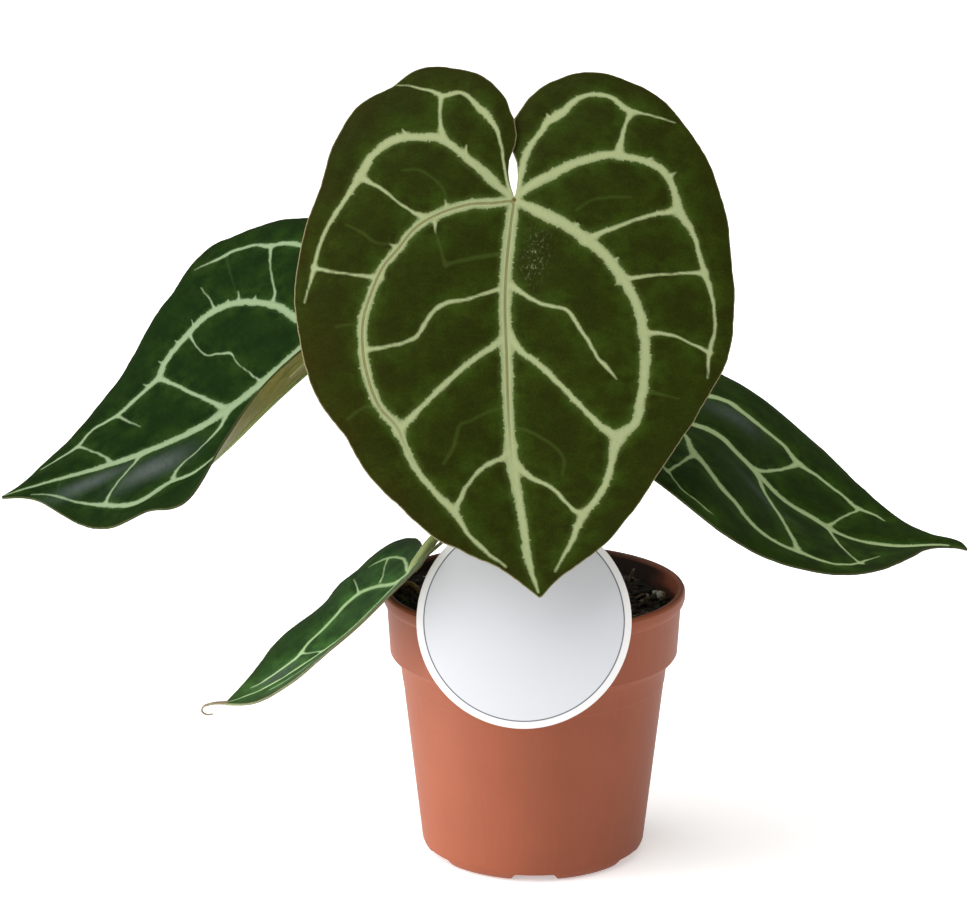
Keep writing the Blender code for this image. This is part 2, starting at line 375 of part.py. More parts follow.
def build_pot():
    lip = WALL + RIM_RADIUS - COLLAR_TOP_RADIUS
    outside = [(0, 0), (FOOT_RADIUS - FOOT_ROUND, 0)]
    slope = (BODY_TOP_RADIUS - FOOT_RADIUS) / STEP_Z
    for turn in (30, 60, 90):
        angle = math.radians(turn)
        outside.append((FOOT_RADIUS - FOOT_ROUND * (1 - math.sin(angle)) + slope * FOOT_ROUND,
                        FOOT_ROUND * (1 - math.cos(angle))))
    outside += [
        (BODY_TOP_RADIUS, STEP_Z),
        (BODY_TOP_RADIUS + 1.0, STEP_Z + 2.2),
        (COLLAR_FOOT_RADIUS - 0.8, COLLAR_FOOT_Z - 0.6),
        (COLLAR_FOOT_RADIUS, COLLAR_FOOT_Z + 0.6),
        (COLLAR_TOP_RADIUS, POT_HEIGHT - LIP_DROP - 0.8),
        (RIM_RADIUS - 0.5, POT_HEIGHT - LIP_DROP + 0.4),
        (RIM_RADIUS, POT_HEIGHT - LIP_DROP + 2.0),
        (RIM_RADIUS, POT_HEIGHT - 1.4),
        (RIM_RADIUS - 0.6, POT_HEIGHT - 0.3),
        (RIM_RADIUS - lip / 2, POT_HEIGHT),
        (RIM_RADIUS - lip + 0.5, POT_HEIGHT - 0.4),
    ]
    inside = [
        (inner_radius(POT_HEIGHT - 2), POT_HEIGHT - 2),
        (inner_radius(COLLAR_FOOT_Z), COLLAR_FOOT_Z),
        (BODY_TOP_RADIUS - WALL, STEP_Z + 1.2),
        (BODY_TOP_RADIUS - WALL, STEP_Z - 1.0),
        (inner_radius(FOOT_ROUND + FLOOR), FOOT_ROUND + FLOOR),
        (inner_radius(FLOOR) - 3.0, FLOOR),
        (0, FLOOR),
    ]
    pot = add_object("pot", lathe(outside + inside, LATHE_SIDES), paint("pot_plastic", POT_PAINT))
    for index in range(CHANNEL_COUNT):
        turn = math.radians(-90 + index * 360 / CHANNEL_COUNT)
        bm = bmesh.new()
        bmesh.ops.create_cube(bm, size=1.0)
        reach = FOOT_RADIUS + WALL * 2 - CHANNEL_START
        bmesh.ops.scale(bm, vec=(reach, CHANNEL_WIDTH, CHANNEL_HEIGHT * 2), verts=bm.verts)
        bmesh.ops.translate(bm, vec=(CHANNEL_START + reach / 2, 0, 0), verts=bm.verts)
        bmesh.ops.rotate(bm, cent=(0, 0, 0), matrix=Matrix.Rotation(turn, 3, "Z"), verts=bm.verts)
        cut(pot, add_object("channel_cutter", bm))
        bm = bmesh.new()
        bmesh.ops.create_cone(bm, cap_ends=True, segments=16, radius1=DRAIN_RADIUS,
                              radius2=DRAIN_RADIUS, depth=FLOOR * 4)
        bmesh.ops.translate(bm, vec=(DRAIN_RING, 0, 0), verts=bm.verts)
        bmesh.ops.rotate(bm, cent=(0, 0, 0), matrix=Matrix.Rotation(turn, 3, "Z"), verts=bm.verts)
        cut(pot, add_object("drain_cutter", bm))
    return pot


def upright(radius, bottom, top, x=0.0, y=0.0, sides=12):
    bm = bmesh.new()
    bmesh.ops.create_cone(bm, cap_ends=True, segments=sides, radius1=radius, radius2=radius,
                          depth=top - bottom)
    bmesh.ops.translate(bm, vec=(x, y, (top + bottom) / 2), verts=bm.verts)
    return bm


def foot_place(leaf):
    angle = math.radians(leaf["foot_angle"])
    return FOOT_RING * math.cos(angle), FOOT_RING * math.sin(angle)


def build_soil():
    """Fills the pot up to a little below the rim. Its top is a seeded bumpy bed."""
    bottom = FLOOR + FIT
    edge = [(0, bottom), (inner_radius(FLOOR) - 3.0 - FIT, bottom)]
    edge += [(inner_radius(FOOT_ROUND + FLOOR) - FIT, FOOT_ROUND + FLOOR),
             (BODY_TOP_RADIUS - WALL - FIT, STEP_Z - 1.0),
             (BODY_TOP_RADIUS - WALL - FIT, STEP_Z + 1.2 + FIT),
             (inner_radius(COLLAR_FOOT_Z) - FIT, COLLAR_FOOT_Z + FIT)]
    rim = inner_radius(SOIL_TOP) - FIT
    rings = [(rim * share, SOIL_TOP) for share in (1.0, 0.92, 0.8, 0.67, 0.54, 0.4, 0.25)]
    bm = lathe(edge + rings + [(0, SOIL_TOP)], LATHE_SIDES)
    draw = random.Random(SOIL_SEED)
    waves = [(draw.uniform(0.05, 0.35), draw.uniform(0, math.tau), draw.uniform(0, math.tau))
             for _ in range(SOIL_WAVES)]
    for vert in bm.verts:
        if vert.co.z < SOIL_TOP - 0.1:
            continue
        bump = sum(math.sin(pitch * (vert.co.x * math.cos(way) + vert.co.y * math.sin(way)) + start)
                   for pitch, way, start in waves) / 3
        vert.co.z += SOIL_BUMP * (bump + draw.uniform(-0.7, 0.7))
    soil = add_object("potting_mix", bm, paint("potting_mix", SOIL_PAINT))
    hole = upright(CROWN_RADIUS + FIT, CROWN_BOTTOM - FIT, OPEN_TOP, sides=16)
    cut(soil, add_object("crown_hole", hole))
    for leaf in LEAVES:
        x, y = foot_place(leaf)
        hole = upright(PETIOLE_HOLE, PETIOLE_FOOT_Z - FIT, OPEN_TOP, x, y)
        cut(soil, add_object("petiole_hole", hole))
    cut(soil, add_object("stake_hole", stake_solid(FIT)))
    return soil


def build_crown():
    """The short stem, ringed with old leaf scars."""
    profile = [(0, CROWN_BOTTOM), (CROWN_RADIUS - 2.5, CROWN_BOTTOM)]
    for index in range(CROWN_RINGS):
        z = CROWN_BOTTOM + 3 + index * (CROWN_TOP - CROWN_BOTTOM - 8) / (CROWN_RINGS - 1)
        profile += [(CROWN_RADIUS - 1.0, z), (CROWN_RADIUS, z + 1.6), (CROWN_RADIUS - 0.6, z + 3.6)]
    profile += [(CROWN_RADIUS - 4.0, CROWN_TOP), (0, CROWN_TOP)]
    return add_object("crown", lathe(profile, 12), paint("crown_bark", CROWN_PAINT))


def hermite(knots, values, at):
    """A smooth curve through values at rising knots, held at the ends."""
    knots = np.asarray(knots, float)
    values = np.asarray(values, float)
    at = np.clip(np.asarray(at, float), knots[0], knots[-1])
    slopes = np.gradient(values, knots, axis=0)
    low = np.clip(np.searchsorted(knots, at, side="right") - 1, 0, len(knots) - 2)
    span = knots[low + 1] - knots[low]
    s = (at - knots[low]) / span
    if values.ndim > 1:
        s = s[:, None]
        span = span[:, None]
    return ((2 * s**3 - 3 * s**2 + 1) * values[low] + (s**3 - 2 * s**2 + s) * span * slopes[low]
            + (3 * s**2 - 2 * s**3) * values[low + 1] + (s**3 - s**2) * span * slopes[low + 1])


def unit(rows):
    return rows / np.linalg.norm(rows, axis=-1, keepdims=True)


def eased(rows, reach):
    """Rows averaged over their neighbours, with both ends kept."""
    window = np.hanning(2 * reach + 3)[1:-1]
    padded = np.vstack([2 * rows[0] - rows[reach:0:-1], rows, 2 * rows[-1] - rows[-2:-reach - 2:-1]])
    return np.stack([np.convolve(column, window / window.sum(), "valid") for column in padded.T], 1)


class Blade:
    """The bent surface of one leaf: takes flat (across, along) mm to a place in the pot's frame."""

    def __init__(self, leaf):
        self.leaf = leaf
        points = np.array(leaf["spine"], float)
        chord = np.r_[0, np.cumsum(np.linalg.norm(np.diff(points, axis=0), axis=1))]
        fine = eased(hermite(chord, points, np.linspace(0, chord[-1], SPINE_STEPS)), SPINE_EASE)
        self.along = np.r_[0, np.cumsum(np.linalg.norm(np.diff(fine, axis=0), axis=1))]
        self.line = fine
        self.tangent = unit(np.gradient(fine, self.along, axis=0))
        self.length = self.along[-1]
        self.bend_plus = np.array(leaf["bend_plus"], float)
        self.bend_minus = np.array(leaf["bend_minus"], float)

    def frame(self, along):
        held = np.clip(along, 0, self.length)
        line = np.stack([np.interp(held, self.along, self.line[:, k]) for k in range(3)], 1)
        way = unit(np.stack([np.interp(held, self.along, self.tangent[:, k]) for k in range(3)], 1))
        face = hermite([0, self.length / 2, self.length], self.leaf["face"], held)
        up = unit(face - (face * way).sum(1)[:, None] * way)
        bend = self.leaf["lobe_bend"]
        back = np.minimum(along, 0)
        angle = (-back * bend)[:, None]
        line = line - way * np.sin(angle) / bend + up * (1 - np.cos(angle)) / bend
        way, up = way * np.cos(angle) - up * np.sin(angle), up * np.cos(angle) + way * np.sin(angle)
        return line, way, up

    def place(self, across, along, height=0.0):
        across = np.asarray(across, float)
        along = np.asarray(along, float)
        line, way, up = self.frame(along)
        side = np.cross(up, way)
        plus = across >= 0
        right = hermite(self.bend_plus[:, 0], self.bend_plus[:, 1:], along)
        left = hermite(self.bend_minus[:, 0], self.bend_minus[:, 1:], along)
        bend = np.radians(np.where(plus[:, None], right, left))
        rise = bend[:, 0]
        curl = bend[:, 1] / 10
        curl = np.where(np.abs(curl) < 1e-5, 1e-5, curl)
        reach = np.abs(across)
        out = (np.sin(rise + curl * reach) - np.sin(rise)) / curl
        lift = (np.cos(rise) - np.cos(rise + curl * reach)) / curl
        step = np.clip((-along - 12) / 12, 0, 1) * np.exp(-reach / 20) * self.leaf["lobe_lift"]
        lift = lift - np.sign(across) * step
        place = line + side * (np.sign(across) * out)[:, None] + up * lift[:, None]
        if np.any(height):
            place = place + self.normal(across, along) * np.reshape(height, (-1, 1))
        return place

    def normal(self, across, along):
        small = 0.3
        over = self.place(across + small, along) - self.place(across - small, along)
        down = self.place(across, along + small) - self.place(across, along - small)
        return unit(np.cross(down, over))


def outline_points(leaf, count):
    """The margin from the sinus round the minus lobe to the tip and back round the plus lobe."""
    blade = Blade(leaf)
    tip = [(0.0, blade.length)]
    halves = []
    for points in (leaf["outline_minus"] + tip, leaf["outline_plus"] + tip):
        points = np.array(points, float)
        chord = np.r_[0, np.cumsum(np.linalg.norm(np.diff(points, axis=0), axis=1))]
        halves.append(hermite(chord, points, np.linspace(0, chord[-1], count // 2 + 1)))
    return np.vstack([halves[0], halves[1][-2::-1]])


def blade_sheet(leaf, columns, rows):
    """Flat grid from a ring round the junction out to the margin: across, along and share."""
    margin = outline_points(leaf, columns)
    turn = np.arctan2(margin[:, 0], margin[:, 1])
    ring = np.stack([np.sin(turn), np.cos(turn)], 1) * COLLAR_HOLE
    share = np.linspace(0, 1, rows + 1)[:, None, None] ** 0.85
    grid = ring[None] + (margin - ring)[None] * share
    across, along = grid[..., 0].copy(), grid[..., 1]
    lens = np.sin(np.pi * np.clip((-along - 1) / SINUS_LENGTH, 0, 1))
    half = np.ones(len(margin))
    half[:len(margin) // 2] = -1
    across += half[None] * SINUS_GAP * lens * np.exp(-np.abs(across) / 5)
    return across, along, np.broadcast_to(share[..., 0], across.shape), half


def build_blade(leaf, material):
    name = leaf["name"]
    across, along, share, half = blade_sheet(leaf, SHEET_COLUMNS[name], SHEET_ROWS[name])
    rows, columns = across.shape
    blade = Blade(leaf)
    beat = np.linspace(0, 1, columns)[None] * leaf["wave_count"] * math.tau + leaf["wave_phase"]
    wave = leaf["wave"] * np.sin(beat) * share**4
    flat = blade.place(across.ravel(), along.ravel(), wave.ravel())
    bm = bmesh.new()
    verts = [bm.verts.new(point) for point in flat]
    for row in range(rows - 1):
        for column in range(columns - 1):
            a = row * columns + column
            corners = (verts[a], verts[a + 1], verts[a + columns + 1], verts[a + columns])
            bm.faces.new(corners)
    bmesh.ops.triangulate(bm, faces=bm.faces)
    bmesh.ops.recalc_face_normals(bm, faces=bm.faces)
    item = add_object(name + "_blade", bm, material)
    solidify = item.modifiers.new("thickness", "SOLIDIFY")
    solidify.thickness = BLADE * MM
    solidify.offset = 0.0
    apply_modifiers(item)
    return item


def tube(points, rights, ups, shape, widths, heights):
    """A closed tube along points, with a cross-section given in shares of width and height."""
    bm = bmesh.new()
    loops = []
    for point, right, up, width, height in zip(points, rights, ups, widths, heights):
        loops.append([bm.verts.new(Vector(point) + Vector(right) * (x * width)
                                   + Vector(up) * (y * height)) for x, y in shape])
    for low, high in zip(loops, loops[1:]):
        for index in range(len(shape)):
            after = (index + 1) % len(shape)
            bm.faces.new((low[index], low[after], high[after], high[index]))
    bm.faces.new(loops[0])
    bm.faces.new(loops[-1])
    bmesh.ops.triangulate(bm, faces=bm.faces)
    bmesh.ops.recalc_face_normals(bm, faces=bm.faces)
    return bm


def top_over(tree, point, up):
    """How far the blade's upper face stands over a point of its middle surface."""
    hit = tree.ray_cast(Vector(point + up * PROBE), Vector(-up), PROBE * 2)
    return BLADE / 2 if hit[0] is None else PROBE - hit[3]


def rib_tube(blade, tree, rib, height, gap):
    rib = np.array(rib, float)
    chord = np.r_[0, np.cumsum(np.linalg.norm(np.diff(rib[:, :2], axis=0), axis=1))]
    count = max(2, int(round(chord[-1] / RIB_STEP)) + 1)
    path = hermite(chord, rib, np.linspace(0, chord[-1], count))
    points, ups, rights = rib_frame(blade, path)
    fine = hermite(chord, rib, np.linspace(0, chord[-1], (count - 1) * RIB_SUBSTEPS + 1))
    tops = []
    for point, up, right, width in zip(*rib_frame(blade, fine), fine[:, 2]):
        tops.append(max(top_over(tree, point + right * (width * share), up)
                        for share in (-0.5, 0, 0.5)))
    for index in range(count):
        low = max(0, (index - 1) * RIB_SUBSTEPS)
        high = (index + 1) * RIB_SUBSTEPS + 1
        points[index] += ups[index] * (max(tops[low:high]) + gap)
    widths = np.maximum(path[:, 2], RIB_LEAST_WIDTH)
    return tube(points, rights, ups, RIB_SIDES, widths, np.full(count, height))


def rib_frame(blade, path):
    """Places on the blade's middle surface, with the way up and the way across the rib."""
    points = blade.place(path[:, 0], path[:, 1])
    ups = blade.normal(path[:, 0], path[:, 1])
    rights = unit(np.cross(unit(np.gradient(points, axis=0)), ups))
    return points, ups, rights


def round_tube(points, radii, sides, right):
    """A closed round tube whose cross-sections turn as little as they can."""
    ways = unit(np.gradient(points, axis=0))
    rights = []
    for way in ways:
        right = unit(right - (right * way).sum() * way)
        rights.append(right)
    rights = np.array(rights)
    shape = [(math.cos(math.tau * k / sides), math.sin(math.tau * k / sides)) for k in range(sides)]
    return tube(points, rights, np.cross(rights, ways), shape, radii, radii)


def thread_tube(leaf, blade):
    """The dry curl, which starts inside the midrib's end."""
    start = np.array([blade.length - THREAD_START])
    middle = blade.place(np.zeros(1), start, BLADE / 2 + RIB_GAP + RIB_HEIGHT / 2)
    points = np.vstack([middle, np.array(leaf["thread"], float)])
    return round_tube(points, np.full(len(points), THREAD_RADIUS), 5, np.array([0.0, 1.0, 0.0]))


def petiole_tube(leaf, blade):
    """From its hole in the potting mix up to the junction, and through it to the upper side."""
    x, y = foot_place(leaf)
    junction = np.array(leaf["spine"][0], float)
    up = blade.normal(np.array([0.0]), np.array([0.0]))[0]
    route = [(x, y, PETIOLE_FOOT_Z), (x * 1.02, y * 1.02, SOIL_TOP + 6)] + list(leaf["petiole"])
    if leaf["arrives_below"]:
        route.append(tuple(junction - up * leaf["arrives_below"]))
    route.append(tuple(junction + up * (BLADE / 2 + RIB_GAP + RIB_HEIGHT + KNOB_RISE)))
    route = np.array(route, float)
    chord = np.r_[0, np.cumsum(np.linalg.norm(np.diff(route, axis=0), axis=1))]
    at = np.r_[np.linspace(0, chord[-2], PETIOLE_STEPS), chord[-1]]
    points = hermite(chord, route, at)
    slim = leaf["petiole_radius"]
    knob = slim + KNOB_EXTRA
    radius = np.interp(at, [0, 12, 40, chord[-2] - 10, chord[-2], chord[-1]],
                       [PETIOLE_FOOT_RADIUS, PETIOLE_FOOT_RADIUS, slim + 0.3, slim, knob, knob])
    return round_tube(points, radius, PETIOLE_SIDES, np.array([1.0, 0.0, 0.0]))


def build_ribs(leaf, sheet, material):
    """The petiole with the raised rib net that spreads from it over the sheet, in one solid."""
    blade = Blade(leaf)
    tree = BVHTree.FromPolygons([vert.co / MM for vert in sheet.data.vertices],
                                [tuple(face.vertices) for face in sheet.data.polygons])
    item = add_object(leaf["name"] + "_petiole_and_ribs", petiole_tube(leaf, blade), material)
    pieces = bpy.data.collections.new("rib_pieces")
    bpy.context.scene.collection.children.link(pieces)
    for index, rib in enumerate(leaf["ribs"]):
        height = RIB_HEIGHT
        if index >= MAIN_RIBS:
            height -= SIDE_RIB_DROP + RIB_HEIGHT_STEP * index
        gap = RIB_GAP + RIB_GAP_STEP * index
        piece = add_object("rib_piece", rib_tube(blade, tree, rib, height, gap))
        bpy.context.scene.collection.objects.unlink(piece)
        pieces.objects.link(piece)
    if leaf["thread"]:
        piece = add_object("thread_piece", thread_tube(leaf, blade))
        bpy.context.scene.collection.objects.unlink(piece)
        pieces.objects.link(piece)
    union = item.modifiers.new("join", "BOOLEAN")
    union.operation = "UNION"
    union.operand_type = "COLLECTION"
    union.collection = pieces
    union.solver = "MANIFOLD"
    apply_modifiers(item)
    for piece in list(pieces.objects):
        bpy.data.objects.remove(piece, do_unlink=True)
    bpy.data.collections.remove(pieces)
    item.data.materials.clear()
    item.data.materials.append(material)
    item.data.polygons.foreach_set("material_index", [0] * len(item.data.polygons))
    return item


def tag_axes():
    tilt = math.radians(TAG_TILT)
    normal = Vector((0, -math.cos(tilt), math.sin(tilt)))
    up = Vector((0, math.sin(tilt), math.cos(tilt)))
    return normal, up


def build_tag(material):
    normal, up = tag_axes()
    bm = bmesh.new()
    bmesh.ops.create_cone(bm, cap_ends=True, segments=72, radius1=TAG_RADIUS, radius2=TAG_RADIUS,
                          depth=TAG_THICKNESS)
    turn = Matrix((Vector((1, 0, 0)), up, normal)).transposed()
    bmesh.ops.rotate(bm, cent=(0, 0, 0), matrix=turn, verts=bm.verts)
    bmesh.ops.translate(bm, vec=TAG_CENTRE, verts=bm.verts)
    bmesh.ops.recalc_face_normals(bm, faces=bm.faces)
    return add_object("tag_disc", bm, material, smooth=False)


def stake_solid(grow=0.0):
    """The bent strip behind the disc, or with grow the slot that it stands in."""
    normal, up = tag_axes()
    back = TAG_CENTRE - normal * (TAG_THICKNESS / 2 + FIT + STAKE_THICKNESS / 2)
    top = back + up * STAKE_TOP
    bend = back + up * STAKE_BEND
    foot = STAKE_FOOT - Vector((0, 0, grow))
    way = (foot - bend).normalized()
    side = Vector((0, -way.z, way.y)) * -1
    half = STAKE_THICKNESS / 2 + grow
    wide = STAKE_WIDTH / 2 + grow
    middle = (normal + side).normalized()
    stops = [(top, normal, wide), (bend, middle, wide), (foot - way * 8, side, wide),
             (foot, side, wide * 0.35)]
    bm = bmesh.new()
    loops = []
    for centre, out, width in stops:
        loops.append([bm.verts.new(centre + Vector((x * width, 0, 0)) + out * (y * half))
                      for x, y in ((-1, -1), (1, -1), (1, 1), (-1, 1))])
    for low, high in zip(loops, loops[1:]):
        for index in range(4):
            after = (index + 1) % 4
            bm.faces.new((low[index], low[after], high[after], high[index]))
    bm.faces.new(loops[0])
    bm.faces.new(loops[-1])
    bmesh.ops.recalc_face_normals(bm, faces=bm.faces)
    return bm


def build_plant():
    blade_paint = paint("leaf_tissue", BLADE_PAINT)
    rib_paint = paint("ribs_and_petioles", RIB_PAINT)
    for leaf in LEAVES:
        sheet = build_blade(leaf, blade_paint)
        build_ribs(leaf, sheet, rib_paint)


def main():
    clear_scene()
    build_pot()
    build_soil()
    build_crown()
    build_plant()
    tag_paint = paint("tag_board", TAG_PAINT)
    build_tag(tag_paint)
    add_object("tag_stake", stake_solid(), tag_paint, smooth=False)


main()
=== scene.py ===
import math
import random

import bmesh
import bpy
import numpy as np
from bpy.props import FloatProperty, FloatVectorProperty, IntProperty, PointerProperty
from mathutils import Matrix, Vector, noise
from mathutils.kdtree import KDTree


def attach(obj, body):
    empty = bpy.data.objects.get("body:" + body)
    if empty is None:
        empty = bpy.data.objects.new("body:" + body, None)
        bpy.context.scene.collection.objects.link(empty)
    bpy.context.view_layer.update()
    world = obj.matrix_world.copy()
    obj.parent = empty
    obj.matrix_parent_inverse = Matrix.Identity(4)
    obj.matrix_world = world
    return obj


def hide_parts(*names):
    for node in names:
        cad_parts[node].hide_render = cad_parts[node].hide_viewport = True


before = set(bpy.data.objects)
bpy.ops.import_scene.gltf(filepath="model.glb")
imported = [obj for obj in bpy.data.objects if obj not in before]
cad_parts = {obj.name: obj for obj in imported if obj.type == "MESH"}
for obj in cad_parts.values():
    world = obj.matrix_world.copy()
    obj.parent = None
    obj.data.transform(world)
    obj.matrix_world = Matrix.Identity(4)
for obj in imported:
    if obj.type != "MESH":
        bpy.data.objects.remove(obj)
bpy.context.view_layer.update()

bl_info = {
    "name": "Potted crystal anthurium",
    "version": (1, 0, 0),
    "blender": (4, 5, 0),
    "location": "3D View > Sidebar > Anthurium",
    "description": "Dresses the packed anthurium with leaves, pot, potting mix, tag and stage",
    "category": "Object",
}

# Lengths are in mm up to the last step, where a finished mesh is scaled to metres.
MM = 0.001

# Pot, as in the part's source
RIM_RADIUS = 60.0
POT_HEIGHT = 109.0
WALL = 1.6
LIP_DROP = 6.0
COLLAR_TOP_RADIUS = 58.4
COLLAR_FOOT_RADIUS = 57.2
COLLAR_FOOT_Z = 82.0
STEP_Z = 78.0
BODY_TOP_RADIUS = 53.2
FOOT_RADIUS = 44.2
FOOT_ROUND = 5.5
FLOOR = 5.0
CHANNEL_COUNT = 6
CHANNEL_START = 18.0
CHANNEL_WIDTH = 17.0
CHANNEL_HEIGHT = 3.4
CHANNEL_TAPER = (1.36, 0.92)
DRAIN_RADIUS = 3.5
DRAIN_RING = 30.0
# In degrees: how sharp a rounded edge and a crisp edge are at least
HOOP_ANGLE = 18
POT_CREASE = 32

# Potting mix, crown and petiole feet. Each bump of the bed has a size across and a rise.
SOIL_TOP = 101.0
BED_BUMPS = ((17, 1.8), (5.5, 1.5), (2.1, 0.8))
HEAP_PLACE = (-51, -10)
CROWN_RADIUS = 8.0
CROWN_BOTTOM = 74.0
CROWN_TOP = 106.0
FOOT_RING = 13.0
PETIOLE_FOOT_Z = 84.0
PETIOLE_FOOT_RADIUS = 3.6
KNOB_EXTRA = 0.5

# Plant tag
TAG_CENTRE = Vector((-4.6, -60.3, 112.6))
TAG_RADIUS = 40.5
TAG_THICKNESS = 1.0
TAG_TILT = 17.3
STAKE_WIDTH = 10.0
STAKE_THICKNESS = 1.2
STAKE_TOP = 30.0
STAKE_BEND = 7.0
STAKE_FOOT = Vector((-4.6, -44.5, 60.0))
TAG_GAP = 0.35

# Colours, linear
# The pot's dark colour: soil dirt and painted leaf shadow inside the wall, and the darker back of the rim.
POT_DIRT_AND_SHADE = (0.007, 0.005, 0.004, 1.0)
WET_PEAT = (0.004, 0.003, 0.003, 1.0)
PALER_BOARD = (0.76, 0.74, 0.73, 1.0)
WHITE = (1.0, 1.0, 1.0, 1.0)

# Stage, in metres but for the floor
FLOOR_HALF = 60000.0
CAMERA_PLACE = (-0.0174, -1.1, 0.4375)
CAMERA_DOWN = 14.13
KEY_PLACE = (-0.62, -0.16, 0.86)
FILL_PLACE = (1.5, -0.9, 0.7)
FILL_SIZE = 1.2
SIDE_PLACE = (-0.28, -0.1, 0.04)
SIDE_SIZE = 0.08

